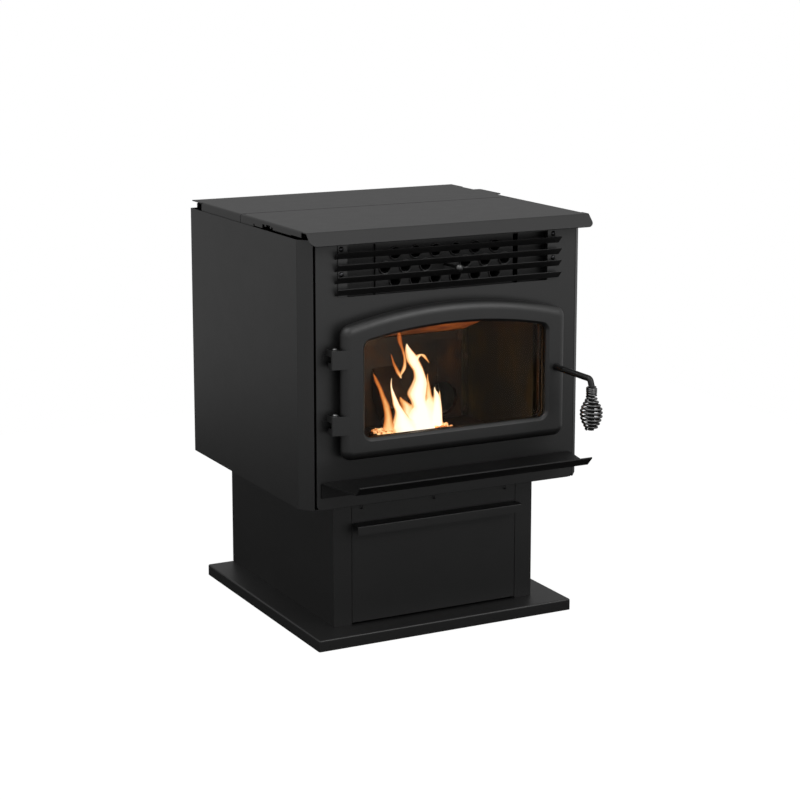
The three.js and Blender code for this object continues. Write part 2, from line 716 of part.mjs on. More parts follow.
add('air_box', cut(
  box(-airBoxHalf, airBoxHalf, airBoxFront, airBoxBack, panTop, fireboxBottom),
  box(-airBoxHalf + airBoxWall, airBoxHalf - airBoxWall, airBoxFront + airBoxWall, airBoxBack - airBoxWall,
    panTop + airBoxWall, fireboxBottom + 1),
  box(-potHalf, potHalf, potFront, potBack, panTop - 1, panTop + airBoxWall + 1),
  rod('y', intakePipeRadius - pipeWall, airBoxBack - 10, airBoxBack + 1, intakeX, intakeZ, 20),
  rod('y', igniterRadius + gap, airBoxBack - 10, airBoxBack + 1, igniterX, igniterZ, 10),
), satinBlack);
add('intake_pipe', pipe('y', intakePipeRadius, pipeWall, airBoxBack, pipeEnd, intakeX, intakeZ), bright,
  brightRough, brightMetal);
const igniterCollar = 8;
add('igniter', join(
  rod('y', igniterRadius, potBack + potWall + runGap, airBoxBack + 30, igniterX, igniterZ, 10),
  rod('y', igniterCollar, airBoxBack, airBoxBack + 5, igniterX, igniterZ, 10),
), bright, brightRough, brightMetal);

// ---- Pellet feed: hopper, auger and chute ----
const hopperWall = 2;
const hopperRimReach = 8;
const hopperOuter = taperedBlock(
  [-hopperThroatHalf, hopperThroatHalf, hopperThroatFront, hopperThroatBack, hopperThroatHeight],
  [-hopperTopHalf, hopperTopHalf, hopperTopFront, hopperTopBack, hopperTopHeight],
);
const hopperInner = taperedBlock(
  [-hopperThroatHalf + hopperWall, hopperThroatHalf - hopperWall, hopperThroatFront + hopperWall,
    hopperThroatBack - hopperWall, hopperThroatHeight - 1],
  [-hopperTopHalf + hopperWall, hopperTopHalf - hopperWall, hopperTopFront + hopperWall, hopperTopBack - hopperWall,
    hopperTopHeight + 1],
);
const hopperRim = box(-hopperTopHalf - hopperRimReach, hopperTopHalf + hopperRimReach, hopperTopFront,
  hopperTopBack, hopperTopHeight - hopperWall, hopperTopHeight);
const augerTubeEnd = augerLength + 18;
const clearTube = augerRod(augerTubeRadius + gap, -20, augerTubeEnd + 40);
add('pellet_hopper', cut(
  join(hopperOuter, hopperRim),
  hopperInner,
  clearTube,
), satinBlack);

const windowLedge = 4; // what the feed and drop windows leave beside the throat and the chute
const feedLedge = 6;
const feedDepth = 3 * augerTubeRadius; // the feed window cuts the tube's upper half only
const dropFront = 8; // the drop window's ends and heights, measured from the auger's head
const dropBack = 24;
const dropDeep = 60;
const dropHigh = 12;
const feedWindow = box(-hopperThroatHalf + windowLedge, hopperThroatHalf - windowLedge,
  hopperThroatFront + feedLedge, hopperThroatBack - feedLedge, augerFoot.z, augerFoot.z + feedDepth);
const dropWindow = box(-chuteHalf + windowLedge, chuteHalf - windowLedge, augerHead.y - dropFront,
  augerHead.y + dropBack, augerHead.z - dropDeep, augerHead.z - dropHigh);
add('auger_tube', cut(
  augerRod(augerTubeRadius, 0, augerTubeEnd),
  augerRod(augerTubeRadius - augerTubeWall, -1, augerTubeEnd - augerTubeWall),
  feedWindow,
  dropWindow,
), steel, 0.5, 0.8);

// The flight is a flat ribbon wound round the core.
function flight(inner, outer, pitch, length, thickness, stepsPerTurn = 12) {
  const steps = Math.round((length / pitch) * stepsPerTurn);
  const vertices = [];
  const index = [];
  for (let i = 0; i <= steps; i += 1) {
    const turn = (i / stepsPerTurn) * 2 * Math.PI;
    const along = (i / stepsPerTurn) * pitch;
    for (const [radius, lift] of [[inner, 0], [outer, 0], [outer, thickness], [inner, thickness]]) {
      vertices.push(radius * Math.cos(turn), along + lift, -radius * Math.sin(turn));
    }
  }
  for (let i = 0; i < steps; i += 1) {
    for (let k = 0; k < 4; k += 1) {
      const a = 4 * i + k;
      const b = 4 * i + ((k + 1) % 4);
      index.push(a, b + 4, b, a, a + 4, b + 4);
    }
  }
  const last = 4 * steps;
  index.push(0, 1, 2, 0, 2, 3, last, last + 2, last + 1, last, last + 3, last + 2);
  const geometry = new THREE.BufferGeometry();
  geometry.setAttribute('position', new THREE.Float32BufferAttribute(vertices, 3));
  geometry.setIndex(index);
  return geometry;
}
const augerSides = 12;
const flightThick = 3;
const flightStart = 8;
const flightGeometry = flight(augerCore - 1, flightRadius, flightPitch, augerLength - 16, flightThick);
flightGeometry.translate(0, flightStart, 0);
flightGeometry.rotateX(Math.PI - chuteAngle);
flightGeometry.translate(augerFoot.x, augerFoot.y, augerFoot.z);
const flightSolid = toManifold(flightGeometry);
add('auger_screw', join(augerRod(augerCore, -2, augerLength + 14, augerSides), flightSolid), steel, 0.5, 0.8);

const motorHalf = 36;
const motorLength = 46;
const motorBlock = new THREE.BoxGeometry(2 * motorHalf, motorLength, 2 * motorHalf);
motorBlock.translate(0, -motorLength / 2 - 2, 0);
motorBlock.rotateX(Math.PI - chuteAngle);
motorBlock.translate(augerFoot.x, augerFoot.y, augerFoot.z);
add('auger_motor', cut(
  join(toManifold(motorBlock), augerRod(augerTubeRadius - augerTubeWall - gap, -4, 4)),
  augerRod(turningHole(augerCore, augerSides), -3, 6, augerSides),
), 0x55554f, 0.5, 0.4);

add('pellet_chute', cut(chuteBlock(0), chuteBlock(chuteWall, 2), clearTube), steel, 0.5, 0.8);

// ---- Exhaust fan ----
const throatLow = fanZ - 20;
const throatHigh = fanZ + fanRadius - 16;
const shaftSides = 10;
const shaftReach = 10; // how far the fan shaft goes into its motor
add('exhaust_housing', cut(
  join(
    rod('x', fanRadius, fanX0, fanX1, fanY, fanZ, 20),
    rod('y', outletPipeRadius, fanY, pipeEnd, outletX, outletZ, 20),
    box(fanX0, fanX1, fireboxBack, fanY, throatLow, throatHigh),
  ),
  rod('x', fanRadius - fanWall, fanX0 + fanWall, fanX1 - fanWall, fanY, fanZ, 20),
  rod('y', outletPipeRadius - pipeWall, fanY, pipeEnd + 1, outletX, outletZ, 20),
  box(fanX0 + fanWall, fanX1 - fanWall, fireboxBack - 1, fanY, throatLow + fanWall, throatHigh - fanWall),
  rod('x', fanShaftRadius + runGap, fanX1 - fanWall - 1, fanX1 + 1, fanY, fanZ, shaftSides),
), bright, 0.5, 0.8);
const impellerRadius = 56;
const impellerX0 = fanX0 + 22;
const impellerX1 = fanX1 - fanWall - 6;
const bladeCount = 8;
const bladeHub = 14;
function bladedWheel(x0, x1, radius, y, z, hub, blades, discThick = 2) {
  let wheel = join(
    rod('x', radius, x1 - discThick, x1, y, z, 20),
    rod('x', hub, x0, x1, y, z, 10),
  );
  for (let i = 0; i < blades; i += 1) {
    const blade = new THREE.BoxGeometry(x1 - x0, radius - hub - 1, 2);
    blade.translate((x0 + x1) / 2, (radius + hub) / 2 - 1, 0);
    blade.rotateX((i / blades) * 2 * Math.PI);
    blade.translate(0, y, z);
    wheel = wheel.add(toManifold(blade));
  }
  return wheel;
}
add('exhaust_impeller', join(
  bladedWheel(impellerX0, impellerX1, impellerRadius, fanY, fanZ, bladeHub, bladeCount),
  rod('x', fanShaftRadius, impellerX1 - 1, fanX1 + shaftReach, fanY, fanZ, shaftSides),
), steel, 0.5, 0.8);
const fanMotorRadius = 38;
const fanMotorLength = 72;
add('exhaust_motor', cut(
  rod('x', fanMotorRadius, fanX1, fanX1 + fanMotorLength, fanY, fanZ, 16),
  rod('x', turningHole(fanShaftRadius, shaftSides), fanX1 - 1, fanX1 + shaftReach + gap, fanY, fanZ, shaftSides),
), 0x55554f, 0.5, 0.4);

// ---- Room-air fan ----
const roomX0 = -250;
const roomX1 = -160;
const roomY = 420;
const roomZ = fireboxBottom + 47;
const roomRadius = 76;
const ductHalf = 30;
const ductTop = roomZ + 108;
const roomMotorRadius = 26;
const roomInletRadius = 46;
const footHalf = 40;
const footInset = 20;
const footTop = roomZ - roomRadius + 14;
add('room_fan_housing', cut(
  join(
    rod('x', roomRadius, roomX0, roomX1, roomY, roomZ, 20),
    box(roomX0, roomX1, roomY - roomRadius, roomY - roomRadius + 2 * ductHalf, roomZ, ductTop),
    box(roomX0 + footInset, roomX1 - footInset, roomY - footHalf, roomY + footHalf, panTop, footTop),
  ),
  rod('x', roomRadius - fanWall, roomX0 + fanWall, roomX1 - fanWall, roomY, roomZ, 20),
  box(roomX0 + fanWall, roomX1 - fanWall, roomY - roomRadius + fanWall, roomY - roomRadius + 2 * ductHalf - fanWall,
    roomZ, ductTop + 1),
  rod('x', roomInletRadius, roomX0 - 1, roomX0 + fanWall + 1, roomY, roomZ, 16),
), bright, 0.5, 0.8);
const wheelRadius = 62;
const wheelX0 = roomX0 + 12;
const wheelX1 = roomX1 - fanWall - 8;
const wheelHub = 34;
const wheelBlades = 12;
const boreStart = roomX0 + 40;
const roomShaftStart = boreStart + 4;

add('room_fan_wheel', cut(
  join(
    bladedWheel(wheelX0, wheelX1, wheelRadius, roomY, roomZ, wheelHub, wheelBlades),
    rod('x', wheelHub, wheelX0 + 2, wheelX1, roomY, roomZ, 12),
  ),
  rod('x', turningHole(fanShaftRadius, shaftSides), boreStart, wheelX1 + 1, roomY, roomZ, shaftSides),
), steel, 0.5, 0.8);
add('room_fan_motor', join(
  rod('x', fanShaftRadius, roomShaftStart, roomX1 - fanWall - 1, roomY, roomZ, shaftSides),
  rod('x', roomMotorRadius, roomX1 - fanWall - 4, roomX1 - fanWall, roomY, roomZ, 12),
), 0x55554f, 0.5, 0.4);

// ---- Door: cast frame, gasket, glass and its retainer ----
const rollInner = archOutline(doorWidth - 2 * doorRoll, doorBottom + doorRoll, doorPeak - doorRoll, 3);
const rolled = prismY(rollInner, doorBack - 0.5, doorBack + 0.5, {
  depth: 1, bevelEnabled: true, bevelThickness: doorRoll - 0.5, bevelSize: doorRoll, bevelSegments: 4,
});
const doorHalf = doorWidth / 2 + 1;
const slab = rolled.intersect(box(-doorHalf, doorHalf, doorFace, doorBack, doorBottom - 1, doorPeak + 1));
const rim = prismY(
  archOutline(rimWidth, doorBottom + rimInset, doorPeak - rimInset, 4),
  doorBack - 1,
  rimBack,
);
const glassFront = doorFace + faceThick;
const handleHole = rod('y', rodRadius + gap, doorFace - 1, rimBack + 1, handleX, handleZ, 16);
add('door_frame', cut(
  join(slab, rim),
  arch(0, doorFace - 1, glassFront + 1),
  arch(rebate, glassFront, rimBack + 1),
  handleHole,
), castIron, 0.6, 0.3);
add('door_glass', arch(rebate - 1, glassFront + gap, glassFront + gap + glassThick), 0x20201c, 0.05, 0);
const retainerFront = glassFront + glassThick + 2 * gap;
add('glass_retainer', cut(
  arch(rebate - gap, retainerFront, retainerFront + retainerThick),
  arch(1, retainerFront - 1, retainerFront + retainerThick + 1),
), steel, 0.5, 0.8);
add('door_gasket', cut(
  arch(rebate + 0.5 + gasketWidth - 2, rimBack, panelFront - gap),
  arch(rebate + 0.5 - 2, rimBack - 1, panelFront),
), 0x8a8474, 1, 0);

// ---- Hinges: a bracket with its pin on the panel, and a strap on the door ----
const strapLift = 12; // the bracket's ear stands this far up inside the strap's open back
const bracketPlate = 3;
hingeHeights.forEach((low, i) => {
  const which = i === 0 ? 'upper' : 'lower';
  const high = low + hingeTall;
  const earTop = high - strapLift;
  const earLow = low + strapLift;
  add(`hinge_bracket_${which}`, join(
    box(hingeX - 17, hingeX + knuckleRadius, panelFront - bracketPlate, panelFront, earLow, earTop),
    box(hingeX - pinRadius - 2.5, hingeX + pinRadius + 2.5, hingeY, panelFront - 1, earLow + gap, earTop - gap),
    rod('z', pinRadius + 2.5, earLow + gap, earTop - gap, hingeX, hingeY, 16),
    rod('z', pinRadius, low - 1, high + 2, hingeX, hingeY, 16),
    rod('z', pinRadius + 2, high + gap, high + 3, hingeX, hingeY, 16),
  ), satinBlack);
});
const strapSolids = hingeHeights.flatMap((low) => {
  const high = low + hingeTall;
  return [[low, low + strapLift - gap], [high - strapLift + gap, high]].map(([z0, z1]) => cut(
    join(
      rod('z', knuckleRadius, z0, z1, hingeX, hingeY, 16),
      box(hingeX, hingeX + strapReach, hingeY - knuckleRadius, hingeY + 2, z0, z1),
    ),
    rod('z', pinRadius + 0.08, z0 - 1, z1 + 1, hingeX, hingeY, 16),
  ));
});
const frameMesh = stove.children.find((mesh) => mesh.name === 'door_frame');
frameMesh.geometry = toGeometry(join(toManifold(frameMesh.geometry), ...strapSolids));

// ---- Latch: bent rod, coil grip, and the tongue that holds the keeper ----
const elbowOutward = 22;
const elbowForward = 87;
const elbowDrop = 9;
const elbow = new THREE.Vector3(handleX + elbowOutward, doorFace - elbowForward, handleZ - elbowDrop);
const rodPath = new THREE.CurvePath();
const tongueY0 = rimBack + 0.1;
const tongueY1 = tongueY0 + tongueThick;
const rodBack = new THREE.Vector3(handleX, tongueY0 - 8, handleZ);
const rodOut = new THREE.Vector3(handleX, doorFace - 22, handleZ);
const rodOutLate = new THREE.Vector3(handleX + 4, doorFace - 34, handleZ - 1.6);
const elbowIn = elbow.clone().add(new THREE.Vector3(-4, 12, 2));
const elbowOut = elbow.clone().add(new THREE.Vector3(0.6, -5, -10));
const gripTop = elbow.clone().add(new THREE.Vector3(0.6, -5, -14));
const rodEnd = gripTop.clone().add(new THREE.Vector3(0, 0, -gripLength - 1));
rodPath.add(new THREE.LineCurve3(rodBack, rodOut));
rodPath.add(new THREE.QuadraticBezierCurve3(rodOut, new THREE.Vector3(handleX, doorFace - 28, handleZ), rodOutLate));
rodPath.add(new THREE.LineCurve3(rodOutLate, elbowIn));
rodPath.add(new THREE.QuadraticBezierCurve3(elbowIn, elbow, elbowOut));
rodPath.add(new THREE.LineCurve3(elbowOut, rodEnd));
const rodSteps = 40;
const rodSides = 10;
function circleShape(radius, sides) {
  const ring = Array.from({ length: sides }, (unused, i) => {
    const turn = (i / sides) * 2 * Math.PI;
    return [radius * Math.cos(turn), radius * Math.sin(turn)];
  });
  return new THREE.Shape(points(ring));
}
function sweep(curve, radius, steps, sides) {
  return toManifold(new THREE.ExtrudeGeometry(circleShape(radius, sides), { steps, extrudePath: curve }));
}
add('handle_rod', join(
  sweep(rodPath, rodRadius, rodSteps, rodSides),
  rod('y', rodRadius, tongueY0 - 10, tongueY1, handleX, handleZ, rodSides),
  box(handleX - rodRadius + tongueHeel, handleX + tongueLength, tongueY0, tongueY1, handleZ - rodRadius + 1,
    handleZ + rodRadius - 1),
), castIron, 0.45, 0.6);

const grip = new THREE.Curve();
const gripSeat = rodRadius + wireRadius - 0.4;
grip.getPoint = (t, target = new THREE.Vector3()) => {
  const bulge = Math.sin(Math.PI * t) ** 0.8;
  const radius = gripSeat + (gripRadius - wireRadius - gripSeat) * (Number.isNaN(bulge) ? 0 : bulge);
  const turn = 2 * Math.PI * gripTurns * t;
  return target.set(
    gripTop.x + radius * Math.cos(turn),
    gripTop.y + radius * Math.sin(turn),
    gripTop.z - wireRadius - (gripLength - 2 * wireRadius) * t,
  );
};
const gripWire = sweep(grip, wireRadius, gripTurns * 12, 5);
const gripRod = rod('z', rodRadius + gap, rodEnd.z - 5, gripTop.z + 5, gripTop.x, gripTop.y, 16);
add('coil_grip', cut(gripWire, gripRod), steel, 0.4, 0.8);

const keeperX = handleX + 24;
add('latch_keeper', join(
  box(keeperX - 8, keeperX + 8, panelFront - 2, panelFront, handleZ - 40, handleZ - rodRadius - 2),
  box(keeperX - 8, keeperX + 8, rimBack - 4, panelFront - 1, handleZ - rodRadius - 6, handleZ - rodRadius + 1 - gap),
), steel, 0.5, 0.8);

// ---- Controls on the right side ----
const controlY0 = 400;
const controlY1 = 500;
const controlZ0 = fireboxBottom + 215;
const controlZ1 = controlZ0 + 140;
const controlThick = 6;
const dialRadius = 18;
const dialThick = 16;
const dialY = (controlY0 + controlY1) / 2;
const dialZ = controlZ1 - 45; // the dial sits in the panel's upper half
const spindleRadius = 3;
const spindleReach = 10;
const spindleSides = 12;
add('control_panel', join(
  box(bodyHalf, bodyHalf + controlThick, controlY0, controlY1, controlZ0, controlZ1),
  rod('x', spindleRadius, bodyHalf + controlThick - 1, bodyHalf + controlThick + spindleReach, dialY, dialZ,
    spindleSides),
), 0x222222, 0.6, 0);
add('control_dial', cut(
  rod('x', dialRadius, bodyHalf + controlThick + gap, bodyHalf + controlThick + gap + dialThick, dialY, dialZ, 20),
  rod('x', turningHole(spindleRadius, spindleSides), bodyHalf, bodyHalf + controlThick + spindleReach + gap, dialY,
    dialZ, spindleSides),
), 0x151515, 0.5, 0);

stove.position.y = -baseDepth / 2;
export default stove;
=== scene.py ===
import math

import bmesh
import bpy
from mathutils import Matrix, Vector


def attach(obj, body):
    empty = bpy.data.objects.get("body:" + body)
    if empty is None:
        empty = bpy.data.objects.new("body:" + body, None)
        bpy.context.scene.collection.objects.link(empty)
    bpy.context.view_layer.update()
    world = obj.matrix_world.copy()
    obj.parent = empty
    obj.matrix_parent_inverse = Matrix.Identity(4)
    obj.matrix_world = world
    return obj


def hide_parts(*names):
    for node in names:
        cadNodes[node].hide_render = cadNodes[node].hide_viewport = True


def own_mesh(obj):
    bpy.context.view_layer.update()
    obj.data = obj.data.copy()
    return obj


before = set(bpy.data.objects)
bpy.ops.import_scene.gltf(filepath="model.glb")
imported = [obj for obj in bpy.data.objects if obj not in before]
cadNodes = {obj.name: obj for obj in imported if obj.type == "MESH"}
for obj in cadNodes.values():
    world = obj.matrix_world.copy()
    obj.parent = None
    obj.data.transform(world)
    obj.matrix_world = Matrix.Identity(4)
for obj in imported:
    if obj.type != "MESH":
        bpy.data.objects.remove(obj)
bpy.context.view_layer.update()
print("frame loaded")

# Sizes are millimetres. Depths are measured back from the base's front edge, as in the CAD.
frontToCentre = 276
rowOrigin = (0, frontToCentre, 0)
gap = 0.3  # clearance between pieces that turn past each other
lap = 0.1  # runs of one fold lap a little, so that no two end faces lie in one plane
quarter = math.pi / 2


def at(x, y, z):
    return Vector((x, y - frontToCentre, z)) / 1000


toRow = Matrix.Scale(0.001, 4) @ Matrix.Translation((0, -frontToCentre, 0))


def show(data, name="holder"):
    holder = bpy.data.objects.new(name, data)
    bpy.context.scene.collection.objects.link(holder)
    return holder


def takeMesh(holder):
    # the evaluated mesh of a helper object, which is then thrown away
    graph = bpy.context.evaluated_depsgraph_get()
    mesh = bpy.data.meshes.new_from_object(holder.evaluated_get(graph))
    holder.modifiers.clear()
    bpy.data.objects.remove(holder)
    return mesh


def modified(mesh, kind, **settings):
    holder = show(mesh)
    modifier = holder.modifiers.new("change", kind)
    for key, value in settings.items():
        setattr(modifier, key, value)
    return takeMesh(holder)


def edited(meshes, change=None):
    # one new mesh from some others, reworked by a function of the open bmesh
    work = bmesh.new()
    for mesh in meshes:
        work.from_mesh(mesh)
    if change:
        change(work)
    whole = bpy.data.meshes.new("edited")
    work.to_mesh(whole)
    work.free()
    return whole


def welded(mesh):
    def weld(work):
        bmesh.ops.remove_doubles(work, verts=work.verts, dist=2e-6)
        bmesh.ops.recalc_face_normals(work, faces=work.faces)
    return edited([mesh], weld)


def meshOf(points, faces=(), edges=()):
    mesh = bpy.data.meshes.new("part")
    mesh.from_pydata([tuple(at(*p)) for p in points], list(edges), list(faces))
    return mesh


def fromFaces(points, faces):
    return welded(meshOf(points, faces))


def moved(mesh, x, y, z):
    copy = mesh.copy()
    copy.transform(Matrix.Translation(Vector((x, y, z)) / 1000))
    return copy


def bevelled(mesh, width, steps=2, angle=28):
    return modified(mesh, "BEVEL", width=width / 1000, segments=steps, limit_method="ANGLE",
        angle_limit=math.radians(angle), use_clamp_overlap=False)


def thickened(mesh, thickness):
    return modified(mesh, "SOLIDIFY", thickness=thickness / 1000, offset=-1, use_even_offset=True)


def fromCad(node, edge=0.4, merge=True):
    # a copy of the CAD solid, its flat faces merged, with its folds and cut edges rounded
    def clean(work):
        bmesh.ops.remove_doubles(work, verts=work.verts, dist=5e-6)
        if merge:
            bmesh.ops.dissolve_limit(work, angle_limit=math.radians(0.8), verts=work.verts,
                edges=work.edges)
    return bevelled(edited([cadNodes[node].data], clean), edge)


def boxMesh(x0, x1, y0, y1, z0, z1):
    corners = [(x, y, z) for x in (x0, x1) for y in (y0, y1) for z in (z0, z1)]
    return fromFaces(corners,
        [(0, 1, 3, 2), (4, 6, 7, 5), (0, 4, 5, 1), (2, 3, 7, 6), (0, 2, 6, 4), (1, 5, 7, 3)])


def block(x0, x1, y0, y1, z0, z1, edge=0.8):
    return bevelled(boxMesh(x0, x1, y0, y1, z0, z1), edge)


planes = {
    "x": Matrix(((0, 0, 1, 0), (1, 0, 0, 0), (0, 1, 0, 0), (0, 0, 0, 1))),
    "y": Matrix(((1, 0, 0, 0), (0, 0, -1, 0), (0, 1, 0, 0), (0, 0, 0, 1))),
    "z": Matrix.Identity(4),
}


def plate(loops, low, high, edge=0.4, axis="y"):
    # flat outlines, the first round the rest, cut from stock between low and high on the axis
    curve = bpy.data.curves.new("plate", "CURVE")
    curve.dimensions = "2D"
    curve.fill_mode = "BOTH"
    for loop in loops:
        spline = curve.splines.new("POLY")
        spline.points.add(len(loop) - 1)
        for point, (u, v) in zip(spline.points, loop):
            point.co = (u, v, 0, 1)
        spline.use_cyclic_u = True
    curve.extrude = (high - low) / 2 - edge
    curve.bevel_depth = edge
    curve.bevel_resolution = 1
    curve.offset = -edge
    mesh = takeMesh(show(curve))
    middle = (low + high) / 2
    mesh.transform(
        toRow @ planes[axis] @ Matrix.Translation((0, 0, -middle if axis == "y" else middle)))
    return welded(mesh)


def arc(u, v, radius, first, last, steps):
    turns = [first + (last - first) * k / steps for k in range(steps + 1)]
    return [(u + radius * math.cos(turn), v + radius * math.sin(turn)) for turn in turns]


def filletAt(before, corner, after, radius, steps):
    into = (before - corner).normalized()
    away = (after - corner).normalized()
    half = into.angle(away) / 2
    if radius < 0.02 or half > 1.56:
        return [corner]
    reach = radius / math.tan(half)
    centre = corner + (into + away).normalized() * radius / math.sin(half)
    start, end = corner + into * reach - centre, corner + away * reach - centre
    first = math.atan2(start.y, start.x)
    sweep = (math.atan2(end.y, end.x) - first + math.pi) % (2 * math.pi) - math.pi
    return [Vector(p) for p in arc(*centre, start.length, first, first + sweep, steps)]


def roundedLoop(corners, radius, steps=5):
    points = [Vector(c) for c in corners]
    radii = radius if isinstance(radius, (list, tuple)) else [radius] * len(points)
    loop = []
    for i, point in enumerate(points):
        loop += filletAt(points[i - 1], point, points[(i + 1) % len(points)], radii[i], steps)
    return [tuple(p) for p in loop]


def rectangle(u0, u1, v0, v1, radius):
    return roundedLoop([(u0, v0), (u1, v0), (u1, v1), (u0, v1)], radius)


def foldOutline(path, thickness, bend, steps=4):
    # the cut face of a folded sheet; bend is its outside radius, and its thickness lies to the left
    points = [Vector(p) for p in path]
    last = len(points) - 1
    left = lambda v: Vector((-v.y, v.x))
    heading = [(points[i + 1] - points[i]).normalized() for i in range(last)]
    offset = []
    for i, point in enumerate(points):
        into = heading[max(i - 1, 0)]
        out = heading[min(i, last - 1)]
        normal = (left(into) + left(out)).normalized()
        offset.append(point + normal * thickness / normal.dot(left(into)))
    near = [points[0]]
    far = [offset[0]]
    for i in range(1, last):
        turn = heading[i - 1].x * heading[i].y - heading[i - 1].y * heading[i].x
        insideIsFar = turn * thickness > 0
        inner = max(bend - abs(thickness), 0.3)
        near += filletAt(points[i - 1], points[i], points[i + 1], bend if insideIsFar
            else inner, steps)
        far += filletAt(offset[i - 1], offset[i], offset[i + 1], inner if insideIsFar
            else bend, steps)
    near.append(points[-1])
    far.append(offset[-1])
    return [tuple(p) for p in near + far[::-1]]


def lathe(profile, axis, centre, sides=36, ring=False):
    # profile: (radius, distance along the axis) from one end to the other; a ring closes on itself
    points = []
    rows = []
    for radius, along in profile:
        count = 1 if radius < 1e-6 else sides
        rows.append(list(range(len(points), len(points) + count)))
        points += [(radius * math.cos(2 * math.pi * k / sides),
                radius * math.sin(2 * math.pi * k / sides), along) for k in range(count)]
    faces = []
    for low, high in list(zip(rows, rows[1:])) + ([(rows[-1], rows[0])] if ring else []):
        for k in range(max(len(low), len(high)) if len(low) + len(high) > 2 else 0):
            n = (k + 1) % sides
            faces.append(tuple(dict.fromkeys((low[k % len(low)], low[n % len(low)],
                            high[n % len(high)], high[k % len(high)]))))
    if not ring:
        faces += [tuple(row) for row in (rows[0], rows[-1]) if len(row) > 1]
    order = {"x": (2, 0, 1), "y": (0, 2, 1), "z": (0, 1, 2)}[axis]
    return fromFaces([tuple(c + p[i] for c, i in zip(centre, order)) for p in points], faces)


def roundedPath(corners, radii, steps=8):
    # a 3-D path whose corners are rounded to the given radii
    points = [Vector(c) for c in corners]
    path = [points[0]]
    for i in range(1, len(points) - 1):
        into = (points[i - 1] - points[i]).normalized()
        away = (points[i + 1] - points[i]).normalized()
        reach = radii[i - 1] / math.tan(into.angle(away) / 2)
        start = points[i] + into * reach
        end = points[i] + away * reach
        for k in range(steps + 1):
            t = k / steps
            path.append(start * (1 - t) ** 2 + points[i] * 2 * t * (1 - t) + end * t * t)
    path.append(points[-1])
    return path


def bands(count, size, closed=True):
    # the four-sided faces between rows of points, each row closed on itself
    faces = []
    for r in range(count if closed else count - 1):
        here, there = r * size, (r + 1) % count * size
        faces += [(here + k, here + (k + 1) % size, there + (k + 1) % size, there + k)
            for k in range(size)]
    return faces


def capped(count, size):
    last = (count - 1) * size
    return bands(count, size, False) + [tuple(range(size)), tuple(range(last, last + size))]


def sweptRod(path, radius, sides=16):
    # a round bar along a path, with closed ends
    path = [Vector(p) for p in path]
    across = (path[1] - path[0]).normalized().orthogonal()
    points = []
    for i, centre in enumerate(path):
        ahead = (path[min(i + 1, len(path) - 1)] - path[max(i - 1, 0)]).normalized()
        across = (across - ahead * across.dot(ahead)).normalized()
        up = ahead.cross(across)
        points += [tuple(centre + across * u + up * v)
            for u, v in arc(0, 0, radius, 0, 2 * math.pi, sides)[:-1]]
    return fromFaces(points, capped(len(path), sides))


def bentSheet(stations, thickness, columns=1, edge=0.3):
    # a sheet laid through stations (y, z, half width), with its thickness below it
    points = []
    for y, z, half in stations:
        points += [(-half + 2 * half * c / columns, y, z) for c in range(columns + 1)]
    row = columns + 1
    faces = [(i * row + c, i * row + c + 1, (i + 1) * row + c + 1, (i + 1) * row + c)
        for i in range(len(stations) - 1) for c in range(columns)]
    mesh = meshOf(points, faces)
    mesh.update()
    if sum(p.normal.z for p in mesh.polygons) < 0:
        mesh.flip_normals()
    solid = thickened(mesh, thickness)
    return bevelled(solid, edge, 2, 60) if edge else solid


def addNode(tree, kind, values=None):
    # a value is a property, a plain input or another node's socket; properties come first
    node = tree.nodes.new(kind)
    for key, value in (values or {}).items():
        if isinstance(value, bpy.types.NodeSocket):
            tree.links.new(node.inputs[key], value)
        elif isinstance(key, str) and hasattr(node, key):
            setattr(node, key, value)
        else:
            node.inputs[key].default_value = value
    return node


def outOf(tree, kind, values=None, output=0):
    return addNode(tree, kind, values).outputs[output]


def maths(tree, operation, *values, **settings):
    return outOf(tree, "ShaderNodeMath",
        {"operation": operation, **settings, **dict(enumerate(values))})


socketKinds = {"Geometry": "Geometry", "Material": "Material", "Item": "Object", "Count": "Int",
    "Seed": "Int", "Step": "Vector"}


def geometryTree(name, *inputs):
    # a tree with named inputs, which are numbers unless listed above
    tree = bpy.data.node_groups.new(name, "GeometryNodeTree")
    for label in ["Geometry", *inputs, "Material"]:
        kind = socketKinds.get(label, "Float")
        tree.interface.new_socket(label, in_out="INPUT", socket_type="NodeSocket" + kind)
    tree.interface.new_socket("Geometry", in_out="OUTPUT", socket_type="NodeSocketGeometry")
    return tree, addNode(tree, "NodeGroupInput").outputs


def finishTree(tree, given, geometry):
    whole = outOf(tree, "GeometryNodeRealizeInstances", {"Geometry": geometry})
    painted = outOf(tree, "GeometryNodeSetMaterial",
        {"Geometry": whole, "Material": given["Material"]})
    addNode(tree, "NodeGroupOutput", {"Geometry": painted})
    return tree


def grown(tree, seed, **values):
    # the plain mesh that a tree makes from a seed mesh
    holder = show(seed)
    modifier = holder.modifiers.new("grow", "NODES")
    modifier.node_group = tree
    for item in tree.interface.items_tree:
        if item.item_type == "SOCKET" and item.in_out == "INPUT" and item.name in values:
            modifier[item.identifier] = values[item.name]
    return takeMesh(holder)


def placingTree():
    # one item at each point of the seed
    tree, given = geometryTree("itemAtEachPoint", "Item")
    item = outOf(tree, "GeometryNodeObjectInfo",
        {"transform_space": "ORIGINAL", "Object": given["Item"]}, "Geometry")
    return finishTree(tree, given, outOf(tree, "GeometryNodeInstanceOnPoints",
            {"Points": given["Geometry"], "Instance": item}))


def rowTree():
    # the seed repeated along a line
    tree, given = geometryTree("rowOfItems", "Count", "Step")
    line = outOf(tree, "GeometryNodeMeshLine",
        {"mode": "OFFSET", "Count": given["Count"], "Offset": given["Step"]})
    return finishTree(tree, given, outOf(tree, "GeometryNodeInstanceOnPoints",
            {"Points": line, "Instance": given["Geometry"]}))


